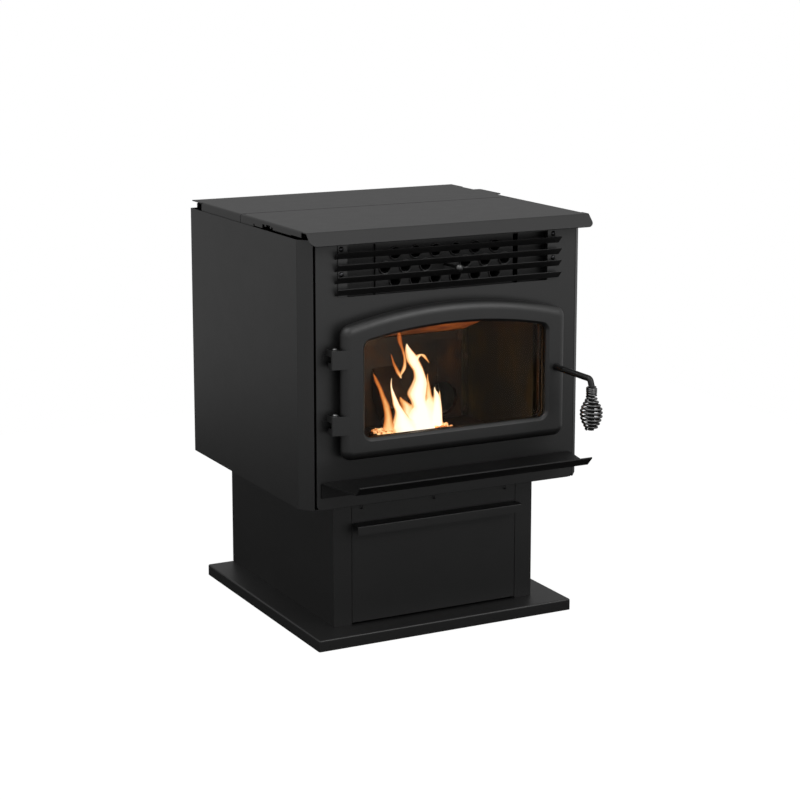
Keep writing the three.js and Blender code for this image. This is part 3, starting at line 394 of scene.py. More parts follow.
def tubeAlong(tree, curve, radius, sides):
    section = outOf(tree, "GeometryNodeCurvePrimitiveCircle",
        {"Resolution": sides, "Radius": radius})
    return outOf(tree, "GeometryNodeCurveToMesh",
        {"Fill Caps": True, "Curve": curve, "Profile Curve": section})


def coilTree(beltShape, riseShape):
    # wire wound down the Z axis; the two shapes give the winding's radius and height along it
    tree, given = geometryTree("coilSpring", "Turns", "Length", "Seat", "Belly", "Wire")
    line = outOf(tree, "GeometryNodeCurvePrimitiveLine", {"Start": (0, 0, 0), "End": (0, 0, -1)})
    dense = outOf(tree, "GeometryNodeResampleCurve", {"Count": 420, "Curve": line})
    factor = outOf(tree, "GeometryNodeSplineParameter", {}, "Factor")

    def shaped(points):
        node = addNode(tree, "ShaderNodeFloatCurve", {"Value": factor})
        curve = node.mapping.curves[0]
        curve.points[0].location = points[0]
        curve.points[1].location = points[-1]
        for spot in points[1:-1]:
            curve.points.new(*spot)
        node.mapping.update()
        return node.outputs[0]

    angle = maths(tree, "MULTIPLY", maths(tree, "MULTIPLY", factor, given["Turns"]), 2 * math.pi)
    reach = maths(tree, "SUBTRACT", given["Belly"], given["Seat"])
    radius = maths(tree, "ADD", given["Seat"], maths(tree, "MULTIPLY", reach, shaped(beltShape)))
    drop = maths(tree, "MULTIPLY", maths(tree, "MULTIPLY", shaped(riseShape), given["Length"]), -1)
    spot = outOf(tree, "ShaderNodeCombineXYZ",
        {"X": maths(tree, "MULTIPLY", maths(tree, "COSINE", angle), radius),
            "Y": maths(tree, "MULTIPLY", maths(tree, "SINE", angle), radius), "Z": drop})
    wound = outOf(tree, "GeometryNodeSetPosition", {"Geometry": dense, "Position": spot})
    return finishTree(tree, given, tubeAlong(tree, wound, given["Wire"], 10))


def ropeTree(strands=3):
    # strands twisted round the seed's edge loop
    tree, given = geometryTree("twistedRope", "Lay", "Strand", "Offset", "Spacing")
    loop = outOf(tree, "GeometryNodeMeshToCurve", {"Mesh": given["Geometry"]})
    dense = outOf(tree, "GeometryNodeResampleCurve",
        {"mode": "LENGTH", "Curve": loop, "Length": given["Spacing"]})
    along = outOf(tree, "GeometryNodeSplineParameter", {}, "Length")
    normal = outOf(tree, "GeometryNodeInputNormal")
    tangent = outOf(tree, "GeometryNodeInputTangent")
    binormal = outOf(tree, "ShaderNodeVectorMath",
        {"operation": "CROSS_PRODUCT", 0: normal, 1: tangent})
    turns = maths(tree, "DIVIDE", along, given["Lay"])
    gathered = addNode(tree, "GeometryNodeJoinGeometry")
    for k in range(strands):
        angle = maths(tree, "MULTIPLY_ADD", turns, 2 * math.pi, 2 * math.pi * k / strands)
        sides = []
        for operation, direction in (("COSINE", normal), ("SINE", binormal)):
            reach = maths(tree, "MULTIPLY", maths(tree, operation, angle), given["Offset"])
            sides.append(outOf(tree, "ShaderNodeVectorMath",
                    {"operation": "SCALE", 0: direction, "Scale": reach}))
        shift = outOf(tree, "ShaderNodeVectorMath", {"operation": "ADD", 0: sides[0], 1: sides[1]})
        strand = outOf(tree, "GeometryNodeSetPosition", {"Geometry": dense, "Offset": shift})
        tree.links.new(gathered.inputs[0], tubeAlong(tree, strand, given["Strand"], 6))
    return finishTree(tree, given, gathered.outputs[0])


def scatterTree():
    # pressed pellets lying at random over the seed's faces
    tree, given = geometryTree("scatteredPellets", "Spacing", "Density", "Radius", "Length", "Seed")
    spots = outOf(tree, "GeometryNodeDistributePointsOnFaces", {"distribute_method": "POISSON",
            "Mesh": given["Geometry"], "Distance Min": given["Spacing"],
            "Density Max": given["Density"], "Seed": given["Seed"]}, "Points")
    pellet = outOf(tree, "GeometryNodeMeshCylinder",
        {"Vertices": 8, "Radius": given["Radius"], "Depth": given["Length"]}, "Mesh")
    turn, size = [outOf(tree, "FunctionNodeRandomValue",
            {"data_type": "FLOAT_VECTOR", 0: least, 1: most, "Seed": given["Seed"]})
        for least, most in (((1.1, -0.4, 0), (2.0, 0.4, 6.283)), ((1, 1, 0.55), (1, 1, 1.2)))]
    return finishTree(tree, given, outOf(tree, "GeometryNodeInstanceOnPoints",
            {"Points": spots, "Instance": pellet, "Rotation": turn, "Scale": size}))


def fromHex(text):
    # sRGB hex to Blender's linear colour
    parts = [int(text[i:i + 2], 16) / 255 for i in (1, 3, 5)]
    return tuple(c / 12.92 if c <= 0.04045 else ((c + 0.055) / 1.055) ** 2.4 for c in parts) + (1,)


def startFinish(name, **settings):
    material = bpy.data.materials.new(name)
    material.use_nodes = True
    tree = material.node_tree
    tree.nodes.clear()
    shader = addNode(tree, "ShaderNodeBsdfPrincipled", settings)
    addNode(tree, "ShaderNodeOutputMaterial", {"Surface": shader.outputs["BSDF"]})
    return material, tree, outOf(tree, "ShaderNodeTexCoord", {}, "Object")


def noiseAt(tree, place, millimetres, detail=3, rough=0.55, stretch=None):
    if stretch:
        place = outOf(tree, "ShaderNodeMapping", {"Scale": stretch, "Vector": place})
    return outOf(tree, "ShaderNodeTexNoise",
        {"Scale": 1000 / millimetres, "Detail": detail, "Roughness": rough, "Vector": place})


def blendedTones(tree, factor, stops):
    ramp = addNode(tree, "ShaderNodeValToRGB", {"Fac": factor})
    marks = ramp.color_ramp.elements
    while len(marks) < len(stops):
        marks.new(0.5)
    for mark, (spot, colour) in zip(marks, stops):
        mark.position = spot
        mark.color = fromHex(colour)
    return ramp.outputs["Color"]


def ranged(tree, value, low, high, fromLow=0.3, fromHigh=0.7):
    return outOf(tree, "ShaderNodeMapRange",
        {"From Min": fromLow, "From Max": fromHigh, "To Min": low, "To Max": high, "Value": value})


def surfaced(material, tones=None, rough=None, height=None, depth=0, **others):
    # joins what a finish has worked out to its shader; depth is the relief's depth in millimetres
    tree = material.node_tree
    sources = {"Base Color": tones, "Roughness": rough, **others}
    if height is not None:
        sources["Normal"] = outOf(tree, "ShaderNodeBump",
            {"Strength": 1.0, "Distance": depth / 1000, "Height": height})
    for label, source in sources.items():
        if source is not None:
            tree.links.new(tree.nodes["Principled BSDF"].inputs[label], source)
    return material


def paintFinish(name, dark, light, patch, rough, roughPatch, grain, depth, gloss):
    # tones in wide soft clouds, with a fine relief; each noise is given as (millimetres, detail)
    material, tree, place = startFinish(name, **{"Specular IOR Level": gloss})
    return surfaced(material, blendedTones(tree, noiseAt(tree, place, *patch),
            [(0.3, dark), (0.7, light)]), ranged(tree, noiseAt(tree, place, *roughPatch), *rough),
        noiseAt(tree, place, *grain), depth)


def powderCoat(name, dark, light, rough=(0.44, 0.46), gloss=0.5):
    # satin powder coat baked on steel sheet: soft wide highlights over a fine orange peel
    return paintFinish(name, dark, light, (140, 2), rough, (35, 4), (1.6, 2), 0.008, gloss)


def castPaint(name, dark, light):
    # stove paint over sand-cast iron: a pebbled skin, drawn coarser than casting sand so that it
    # shows
    return paintFinish(name, dark, light, (90, 3), (0.4, 0.46), (12, 4), (2.6, 3), 0.06, 0.45)


def bareMetal(name, dark, light, rough, metallic=1.0, grain=60, stretch=(1, 1, 1)):
    # worked metal: long faint streaks from rolling or drawing
    material, tree, place = startFinish(name, Metallic=metallic)
    streak = noiseAt(tree, place, grain, 4, 0.6, stretch)
    return surfaced(material, blendedTones(tree, streak, [(0.3, dark), (0.7, light)]),
        ranged(tree, streak, *rough), streak, 0.004)


def galvanisedSheet(name, dark, light):
    # hot-dip zinc: a patchwork of 9 mm crystals, each with its own grey
    material, tree, place = startFinish(name, Metallic=0.9)
    spangle = outOf(tree, "ShaderNodeTexVoronoi", {"Scale": 1000 / 9, "Vector": place}, "Color")
    tone = outOf(tree, "ShaderNodeSeparateColor", {"Color": spangle})
    return surfaced(material, blendedTones(tree, tone, [(0.0, dark), (1.0, light)]),
        ranged(tree, tone, 0.32, 0.5, 0, 1), tone, 0.01)


def sootedSteel(name, stops, rough=(0.42, 0.7), patch=70):
    # firebox steel after some fires: brown scale in clouds, with darker soot runs and specks; in
    # the liner and baffle finishes the brighter clouds are also a painted glow of the fire
    material, tree, place = startFinish(name, **{"Specular IOR Level": 0.5})
    cloud = noiseAt(tree, place, patch, 5, 0.6)
    runs = noiseAt(tree, place, 30, 4, 0.6, (2, 2, 0.5))
    return surfaced(material, blendedTones(tree, maths(tree, "MULTIPLY_ADD", runs, 0.4, cloud),
            stops), ranged(tree, cloud, *rough), noiseAt(tree, place, 14, 3), 0.08)


def mouldedPlastic(name, colour, rough=(0.42, 0.5)):
    # moulded ABS with a fine spark texture
    material, tree, place = startFinish(name, **{"Base Color": fromHex(colour)})
    return surfaced(material, None, ranged(tree, noiseAt(tree, place, 50, 2), *rough),
        noiseAt(tree, place, 0.9, 2), 0.02)


def ceramicPane():
    # clear ceramic glass, faintly amber, hazed a little by the fire
    material, tree, place = startFinish("ceramicGlass",
        **{"Base Color": fromHex("#fff6ea"), "Transmission Weight": 1.0, "IOR": 1.12})
    return surfaced(material, None, ranged(tree, noiseAt(tree, place, 60, 3), 0.0, 0.02, 0.6, 0.9))


def ropeFibre():
    # knitted glass-fibre rope, greyed by soot, with each yarn showing across the lay
    material, tree, place = startFinish("glassFibreRope", Roughness=0.95)
    yarn = noiseAt(tree, place, 1.8, 3)
    return surfaced(material, blendedTones(tree, yarn, [(0.3, "#26241f"), (0.7, "#49453d")]), None,
        yarn, 0.25)


def pressedWood():
    # wood pellets from a press: blond to tan, shiny skin with cross cracks
    material, tree, place = startFinish("pressedWood")
    tones = blendedTones(tree, noiseAt(tree, place, 14, 2),
        [(0.25, "#6f4a26"), (0.5, "#a87843"), (0.75, "#cfa36a")])
    return surfaced(material, tones, ranged(tree, noiseAt(tree, place, 3, 3), 0.4, 0.75),
        noiseAt(tree, place, 1.2, 3), 0.15)


def glowingCoals():
    # burning pellets: charred skins with orange heat between them
    material, tree, place = startFinish("glowingCoals", Roughness=0.9)
    heat = noiseAt(tree, place, 16, 4, 0.6)
    glow = blendedTones(tree, heat, [(0.3, "#c8501c"), (0.45, "#ff9a50"), (0.58, "#ffd9a0")])
    return surfaced(material,
        blendedTones(tree, heat, [(0.35, "#1a120c"), (0.6, "#6b4a30")]), None, heat, 0.8,
        **{"Emission Color": glow, "Emission Strength": ranged(tree, heat, 0.25, 1.2, 0.35, 0.6)})


def flameGas():
    # burning gas: white-hot along a tongue's middle, then yellow, and orange where it thins away
    material, tree, place = startFinish("flameGas",
        **{"Base Color": (0, 0, 0, 1), "Specular IOR Level": 0.0, "Roughness": 1.0})
    heat = outOf(tree, "ShaderNodeSeparateXYZ",
        {0: outOf(tree, "ShaderNodeUVMap", {"uv_map": "heat"})})
    uneven = maths(tree, "MULTIPLY_ADD", noiseAt(tree, place, 26, 3, 0.55, (1, 1, 0.35)), 0.5,
        -0.25)
    warmth = maths(tree, "ADD", heat, uneven, use_clamp=True)
    tones = blendedTones(tree, warmth, [(0.0, "#b04a18"), (0.2, "#d8692a"), (0.36, "#f7964a"),
            (0.5, "#ffcb86"), (0.66, "#fff0cc"), (1.0, "#fffdf4")])
    return surfaced(material, **{"Emission Color": tones, "Emission Strength": ranged(tree, warmth,
                0.7, 1.3, 0.1, 0.7), "Alpha": ranged(tree, warmth, 0.0, 0.97, 0.06, 0.62)})


coat = powderCoat("satinBlackPowderCoat", "#151515", "#181818")
# the same satin black coat made darker and duller for the ash lip: painted shade on the shelf, not
# a different paint
shelfCoatPaintedShade = powderCoat("satinBlackShelfCoatPaintedShade", "#080808", "#0b0b0b", (0.48, 0.52), gloss=0.24)
cast = castPaint("castIronStovePaint", "#171717", "#1b1b1b")
rodSteel = bareMetal("blackenedBarSteel", "#1b1b1b", "#262626", (0.35, 0.45), 0.6)
springWire = bareMetal("blackNickelSpringWire", "#4a4a4a", "#6a6a6a", (0.22, 0.32))
zinc = bareMetal("zincPlatedSteel", "#8d8f90", "#b0b2b3", (0.3, 0.42))
knobSteel = bareMetal("satinKnobSteel", "#4a4a4a", "#5c5c5c", (0.36, 0.44))
darkScrew = bareMetal("blackZincScrew", "#2a2a2b", "#3c3c3e", (0.28, 0.36))
galvanised = galvanisedSheet("galvanisedSteelSheet", "#84888a", "#b2b5b6")
castAluminium = bareMetal("dieCastAluminium", "#8b8c8c", "#a3a4a4", (0.45, 0.6), 1.0, 6)
motorSteel = bareMetal("laminatedMotorSteel", "#3c3d3e", "#4c4d4e", (0.4, 0.5), 0.9, 20, (1, 1, 8))
augerSteel = bareMetal("wornAugerSteel", "#6a6763", "#8a8783", (0.3, 0.45), 1.0, 18)
soot = sootedSteel("sootedFireboxSteel",
    [(0.5, "#070604"), (0.66, "#1c140c"), (0.82, "#382716"), (0.96, "#4c361e")])
# liner steel: dark soot clouds whose brighter warm patches are a painted fire glow; the glass
# retainer and corner strips wear it too
sootWithPaintedGlow = sootedSteel("sootedLinerSteelPaintedGlow",
    [(0.52, "#030302"), (0.66, "#0b0b06"), (0.78, "#232212"), (0.92, "#4a4426")], (0.3, 0.5), 150)
# the baffle's scale runs up to bright orange-brown: partly the steel's own scale, partly a painted
# glow of the fire on it
scaleWithPaintedGlow = sootedSteel("scaledBaffleSteelPaintedGlow",
    [(0.45, "#3a2010"), (0.62, "#7d4c2a"), (0.85, "#b07a4c")], (0.42, 0.7), 40)
charred = sootedSteel("charredCastIron", [(0.4, "#100e0c"), (0.7, "#2b2520"), (0.9, "#4a4038")])
pane = ceramicPane()
rope = ropeFibre()
casePlastic = mouldedPlastic("mouldedAbs", "#151515")
dialPlastic = mouldedPlastic("mouldedDialAbs", "#0f0f0f", (0.3, 0.38))
wood = pressedWood()
coals = glowingCoals()
flame = flameGas()
print("finishes made")

placing = placingTree()
rowing = rowTree()
scattering = scatterTree()
twisting = ropeTree()


def finishedPiece(name, meshes, finish, body="cabinet", replaced=None, sharp=32, flatFaces=True):
    # stands in for the CAD node of the piece's own name, if there is one, or for those given
    mesh = edited(meshes) if isinstance(meshes, (list, tuple)) else meshes
    mesh.materials.clear()
    mesh.materials.append(finish)
    mesh.polygons.foreach_set("material_index", [0] * len(mesh.polygons))
    mesh.polygons.foreach_set("use_smooth", [True] * len(mesh.polygons))
    mesh.set_sharp_from_angle(angle=math.radians(sharp))
    if flatFaces:  # broad faces keep their own normals, so that only the rounded edges shade round
        mesh = modified(mesh, "WEIGHTED_NORMAL", keep_sharp=True)
    mesh.name = name
    piece = show(mesh, name)
    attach(piece, body)
    node = "".join("_" + c.lower() if c.isupper() else c for c in name)
    replaced = replaced or [node] * (node in cadNodes)
    if replaced:
        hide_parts(*replaced)
    return piece


def cadPiece(node, finish, body="cabinet", edge=0.4, name=None, extra=(), merge=True):
    # a piece kept as the CAD has it, with its edges rounded, and named after its node
    words = node.split("_")
    name = name or words[0] + "".join(w.capitalize() for w in words[1:])
    shape = fromCad(node, edge, merge)
    return finishedPiece(name, [shape, *extra] if extra else shape, finish, body, [node])


def atEach(places, item, finish):
    # item is a mesh built round the row frame's origin
    model = show(item, "item")
    mesh = grown(placing, meshOf(places), Item=model, Material=finish)
    bpy.data.objects.remove(model)
    return mesh


def inRow(item, count, step, finish):
    return grown(rowing, item, Count=count, Step=Vector(step) / 1000, Material=finish)


def screwHead(radius, height):
    # a domed screw head with a hexagon socket, its underside at the row frame's origin
    profile = ((0, 0.45), (0.34, 0.45), (0.36, 0.97), (0.5, 0.93), (0.72, 0.76), (0.9, 0.47),
        (1.0, 0.12), (1.0, 0.0), (0, 0))
    return lathe([(radius * r, -height * h) for r, h in profile], "y", rowOrigin, 24)


def hexHead(radius, height):
    # a hexagon bolt head on its washer
    washer = ((0, 0.25), (1.25, 0.25), (1.25, 0), (0, 0))
    head = ((0, 1), (0.86, 1), (1, 0.85), (1, 0.2), (0, 0.2))
    return edited([lathe([(radius * r, -height * h) for r, h in profile], "y", rowOrigin, sides)
            for profile, sides in ((washer, 20), (head, 6))])


base = {"half": 278, "depth": 552, "height": 22.5, "wall": 3, "bend": 3.2}


def openTray(x0, x1, y0, y1, low, high, wall, bend):
    # a tray turned upside down, folded from one sheet
    def fold(work):
        bmesh.ops.delete(work, geom=[f for f in work.faces if f.normal.z < -0.9], context="FACES")
        folds = [e for e in work.edges if len(e.link_faces) == 2]
        bmesh.ops.bevel(work, geom=folds, offset=bend / 1000, segments=4, affect="EDGES",
            profile=0.5)
    return thickened(edited([boxMesh(x0, x1, y0, y1, low, high)], fold), wall)


finishedPiece("basePan", openTray(-base["half"], base["half"], 0, base["depth"], 0, base["height"],
        base["wall"], base["bend"]), coat)
cadPiece("base_cross_rail", coat, edge=0.8, name="baseRail")

pedestal = {"half": 220.5, "front": 57.5, "back": 550, "wall": 2, "bend": 3, "low": 22.5,
    "high": 274.3, "doorHalf": 180.5, "hookPlaces": (-160, -3, 156.5), "hookHigh": 258}


def sideSheet(name, side, path, plan, sheet):
    # a folded sheet on one side; its path is the right side's
    outline = foldOutline([(side * x, y) for x, y in path], side * sheet, plan["bend"])
    finishedPiece(name, plate([outline], plan["low"], plan["high"], 0.3, "z"), coat)


sides = ((-1, "Left"), (1, "Right"))
pedestalPath = [(pedestal["doorHalf"] + 1, pedestal["front"]),
    (pedestal["half"], pedestal["front"]), (pedestal["half"], pedestal["back"])]
for side, label in sides:
    sideSheet("pedestalSide" + label, side, pedestalPath, pedestal, pedestal["wall"])
    cadPiece("drawer_runner_" + label.lower(), galvanised)
cadPiece("pedestal_back", coat, edge=0.5)

drawer = {"half": 180.5, "front": 57.5, "pullLow": 207, "pullHigh": 224.5, "pullReach": 27,
    "pullSheet": 2, "bend": 2.6, "hookWire": 1.3}
hookPath = roundedPath([(0, 0, -6), (0, -4.5, -6), (0, -4.5, 3), (0, -1, 4)], [2, 1.5], 4)
hook = sweptRod(hookPath, drawer["hookWire"], 8)
hooks = [moved(hook, x, pedestal["front"] - 0.5, pedestal["hookHigh"])
    for x in pedestal["hookPlaces"]]
finishedPiece("ashDrawer", [fromCad("ash_drawer", 0.3)] + hooks, coat, "drawer")
pullFront = drawer["front"] - drawer["pullReach"]
pull = foldOutline([(drawer["front"], drawer["pullHigh"]), (pullFront, drawer["pullHigh"]),
        (pullFront, drawer["pullLow"])], drawer["pullSheet"], drawer["bend"])
finishedPiece("drawerPull", plate([pull], -drawer["half"], drawer["half"], 0.35, "x"), coat,
    "drawer", replaced=["drawer_handle"])
print("base, pedestal and drawer made")

shell = {"half": 303.75, "frontBend": 32.8, "bevelWide": 23, "bevelDeep": 28.6, "back": 550,
    "low": 274.3, "high": 783.4, "sheet": 1.5, "flange": 18, "bend": 1.8}
bevelEnd = shell["half"] - shell["bevelWide"]
bevelFront = shell["frontBend"] - shell["bevelDeep"]
shellPath = [(shell["half"] - shell["flange"], shell["back"]), (shell["half"], shell["back"]),
    (shell["half"], shell["frontBend"]), (bevelEnd, bevelFront),
    (bevelEnd, bevelFront + shell["flange"])]
for side, label in sides:
    sideSheet("sidePanel" + label, side, shellPath, shell, -shell["sheet"])
cadPiece("bottom_pan", coat, edge=0.3)


def archLoop(width, bottom, peak, corner, grow=0.0, radius=925):
    # a flat-bottomed opening with an arched top; every loop has the same count of points
    half = width / 2 + grow
    reach = radius + grow
    centre = peak - radius
    bend = max(corner + grow, 0.4)
    low = bottom - grow + bend
    # the upper corner's centre lies one bend inside the side and inside the arch
    across = half - bend
    rise = math.sqrt((reach - bend) ** 2 - across * across)
    tilt = math.atan2(rise, across)
    right = arc(across, low, bend, -quarter, 0, 6) + arc(across, centre + rise, bend, 0, tilt, 6)
    over = arc(0, centre, reach, tilt, math.pi - tilt, 36)[1:-1]
    return right + over + [(-u, v) for u, v in reversed(right)]


def ringLoft(rings):
    # a closed band through loops of equal length, each given as (loop, y), and back to the first
    return fromFaces([(u, y, v) for loop, y in rings for u, v in loop],
        bands(len(rings), len(rings[0][0])))


window = {"width": 390.6, "bottom": 411.2, "peak": 613.2, "corner": 14}
panel = {"half": 278.7, "front": 3.5, "back": 6.5, "low": 274.7, "high": 798, "corner": 10,
    "mouth": 5, "outlet": (-215, 215, 674, 770), "screwX": 227.4, "screwHeights": (764.5, 717.5)}


def windowLoop(grow):
    return archLoop(window["width"], window["bottom"], window["peak"], window["corner"], grow)


panelLoops = [rectangle(-panel["half"], panel["half"], panel["low"], panel["high"],
        [panel["corner"]] * 2 + [0.5] * 2), windowLoop(panel["mouth"]),
    rectangle(*panel["outlet"], 1)]
finishedPiece("frontPanel", plate(panelLoops, panel["front"], panel["back"], 0.5), coat)

louvre = {"half": 240, "count": 4, "pitch": 22.7, "top": 746, "reach": 12.6, "thick": 1.4,
    "bend": 1.8, "stripInner": 215, "stripOuter": 234, "stripThick": 2, "stripLow": 675.9,
    "stripHigh": 775, "screw": (5, 3)}
stripFront = panel["front"] - louvre["stripThick"]
slatPath = [(panel["front"], louvre["top"]), (stripFront, louvre["top"]),
    (stripFront - louvre["reach"], louvre["top"] + louvre["reach"])]
slat = plate([foldOutline(slatPath, -louvre["thick"], louvre["bend"])], -louvre["half"],
    louvre["half"], 0.25, "x")
slats = inRow(slat, louvre["count"], (0, 0, -louvre["pitch"]), coat)
strips = []
for side in (-1, 1):
    ends = sorted((side * louvre["stripInner"], side * louvre["stripOuter"]))
    strip = rectangle(*ends, louvre["stripLow"], louvre["stripHigh"], 1.5)
    strips.append(plate([strip], stripFront, panel["front"], 0.3))
finishedPiece("louvreGrille", [slats] + strips, coat)
grilleScrewPlaces = [(side * panel["screwX"], stripFront, z) for side in (-1, 1)
    for z in panel["screwHeights"]]
finishedPiece("grilleScrews", atEach(grilleScrewPlaces, screwHead(*louvre["screw"]), darkScrew),
    darkScrew, replaced=["grille_screw_1", "grille_screw_2", "grille_screw_3", "grille_screw_4"])

top = {"half": 301.9, "high": 800, "sheet": 2, "bend": -7.1, "drop": 22.5, "seam": 294.8,
    "seamInset": 9, "flangeFront": 15, "flangeBend": 4.5, "noseBend": 5, "noseCorner": 13,
    "flanges": ((15, 60, 11), (60, 141, 12.5), (141, 149, 8), (149, 154, 11), (154, 172, 6),
        (172, 179, 10), (179, 190, 7), (190, 226, 14.5), (226, 232, 11), (232, 293.4, 16.5))}
nosePath = foldOutline([(top["seam"] - 2, top["high"]), (top["bend"], top["high"]),
        (top["bend"] - top["drop"], top["high"] - top["drop"])], top["sheet"], top["noseBend"], 6)
upperPath = nosePath[:len(nosePath) // 2]
narrowed = top["half"] - top["flangeBend"]
stations = [(y, top["high"], half)
    for y, half in ((top["seam"] - 2, top["half"] - top["seamInset"]),
        (top["seam"] - 9, top["half"] - top["seamInset"]), (top["seam"] - 9.2, narrowed),
        (top["flangeFront"], narrowed), (top["flangeFront"] - 0.2, top["half"]))]
stations += [(y, z, top["half"]) for y, z in upperPath[1:-1]]
tip, start = Vector(upperPath[-1]), Vector(upperPath[-2])
straight = (tip - start).length - top["noseCorner"]
for turn in [quarter * k / 12 for k in range(13)]:
    # the nose's corners are rounded off over its last stretch
    spot = start + (tip - start).normalized() * (straight + top["noseCorner"] * math.sin(turn))
    stations.append((*spot, top["half"] - top["noseCorner"] * (1 - math.cos(turn))))
topSheet = bentSheet(stations, top["sheet"], 6)


def sideFlange(plan, drop, front, back, bend):
    # the folded-down edges on both sides of a top sheet, drawn in X and Z and run along Y
    half, high, sheet = plan["half"], plan["high"], plan["sheet"]
    return [plate([foldOutline([(side * (half - bend - 0.2), high), (side * half, high),
                        (side * half, high - drop)], -side * sheet, bend)], front, back, 0.2)
        for side in (-1, 1)]


flanges = [fold for front, back, drop in top["flanges"]
    for fold in sideFlange(top, drop, front - lap, back + lap, top["flangeBend"])]
finishedPiece("topPlate", [topSheet] + flanges, coat)

lid = {"half": 301.9, "front": 295.3, "back": 544.4, "high": 800, "sheet": 2, "bend": 4.5,
    "drop": 17.5, "frontDrop": 10, "flangeBack": 494, "tabFront": 350, "tabBack": 440,
    "tabEnd": 314.5}
inner = lid["half"] - lid["bend"]
lidStations = [(lid["back"], lid["high"], lid["half"]),
    (lid["flangeBack"] + 0.2, lid["high"], lid["half"]), (lid["flangeBack"], lid["high"], inner)]
lidStations += [(y, z, inner) for y, z in arc(lid["front"] + lid["bend"], lid["high"] - lid["bend"],
        lid["bend"], quarter, math.pi, 6)]
lidStations.append((lid["front"], lid["high"] - lid["frontDrop"], inner))
tab = plate([rectangle(lid["half"] - 4, lid["tabEnd"], lid["tabFront"], lid["tabBack"],
            [0.5, 6, 6, 0.5])], lid["high"] - lid["sheet"], lid["high"], 0.4, "z")
lidHinge = {"half": 290, "y": 545.4, "z": 790, "barrel": 3.2, "leaf": 1.2, "leafTop": 798.5,
    "leafLow": 774}
lidLeaf = block(-lidHinge["half"], lidHinge["half"], lidHinge["y"] - 2,
    lidHinge["y"] - 2 + lidHinge["leaf"], lidHinge["z"] + 1.2, lidHinge["leafTop"], 0.2)
finishedPiece("hopperLid", [bentSheet(lidStations, lid["sheet"], 1, 0.2), tab, lidLeaf]
    + sideFlange(lid, lid["drop"], lid["front"] + 0.2, lid["flangeBack"], lid["bend"]), coat, "lid")
barrel = plate([arc(lidHinge["y"], lidHinge["z"], lidHinge["barrel"], 0, 2 * math.pi, 16)[:-1]],
    -lidHinge["half"], lidHinge["half"], 0.2, "x")
rearLeaf = block(-lidHinge["half"], lidHinge["half"], lidHinge["y"] + 1.6,
    lidHinge["y"] + 1.6 + lidHinge["leaf"], lidHinge["leafLow"], lidHinge["z"], 0.2)
finishedPiece("lidHinge", [barrel, rearLeaf], coat)
print("body shell and top made")

lip = {"top": 328, "thick": 3, "backHalf": 271, "frontHalf": 249.5, "reach": 102, "rise": 16,
    "flange": 30, "bend": 5}
lipFold = panel["front"] - lip["reach"]
lipOutline = foldOutline([(panel["front"], lip["top"] - lip["flange"]), (panel["front"],
            lip["top"]), (lipFold, lip["top"]), (lipFold - lip["rise"], lip["top"] + lip["rise"])],
    lip["thick"], lip["bend"], 6)


def lipHalf(y):
    share = min(max((panel["front"] - y) / lip["reach"], 0), 1)
    return lip["backHalf"] + (lip["frontHalf"] - lip["backHalf"]) * share


lipSolid = fromFaces([(side * lipHalf(y), y, z) for side in (-1, 1) for y, z in lipOutline],
    capped(2, len(lipOutline)))
# the ash lip takes the painted-shade copy of the coat
finishedPiece("ashLip", bevelled(lipSolid, 0.5, 2, 50), shelfCoatPaintedShade)

door = {"width": 480, "bottom": 370, "peak": 654, "corner": 21, "face": -33, "back": -15,
    "roll": 18, "rimInset": 12, "rimBack": -3, "chamfer": 5, "faceThick": 11, "rebate": 9}
glassFront = door["face"] + door["faceThick"]
chamferBack = door["face"] + door["chamfer"]
outerRings = [(-door["rimInset"] - 0.8, door["rimBack"]),
    (-door["rimInset"], door["rimBack"] - 0.8), (-door["rimInset"], door["back"]),
    (-1.2, door["back"]), (-0.3, door["back"] - 0.4)]
outerRings += [(-door["roll"] * (1 - math.cos(turn)), door["back"] - door["roll"] * math.sin(turn))
    for turn in [quarter * k / 12 for k in range(1, 13)]]
innerRings = [(door["chamfer"] + 1, door["face"]), (door["chamfer"], door["face"] + 0.3),
    (0.8, chamferBack - 0.6), (0, chamferBack + 0.6), (0, glassFront), (door["rebate"], glassFront),
    (door["rebate"], door["rimBack"] - 0.4), (door["rebate"] + 0.4, door["rimBack"])]
rings = [(archLoop(door["width"], door["bottom"], door["peak"], door["corner"], grow), y)
    for grow, y in outerRings]
doorBody = ringLoft(rings + [(windowLoop(grow), y) for grow, y in innerRings])

hinge = {"x": -249.5, "y": -15, "heights": (546, 422), "tall": 35.5, "knuckle": 8.5, "pin": 4,
    "lift": 12, "strapX": -260.4, "strapY": -25.6, "strapEnd": -221, "ear": 6.5, "earLeft": 1.6,
    "plateLeft": 17, "plateFront": 0.5, "cap": 6.3}
hingeAxis = (hinge["x"], hinge["y"], 0)


def hingeHeights(low):
    # the knuckle's foot, the ear's foot and top, and the knuckle's top
    return low, low + hinge["lift"], low + hinge["tall"] - hinge["lift"], low + hinge["tall"]


def sleeve(z0, z1):
    # one knuckle of the door's strap, bored for the pin
    bore, outside = hinge["pin"] + 0.1, hinge["knuckle"]
    return lathe([(bore, z0 + 0.5), (outside - 0.8, z0), (outside, z0 + 0.8), (outside, z1 - 0.8),
            (outside - 0.8, z1), (bore, z1 - 0.5)], "z", hingeAxis, 32, True)


def rod(radius, z0, z1, sides):
    return lathe([(0, z0), (radius, z0), (radius, z1), (0, z1)], "z", hingeAxis, sides)


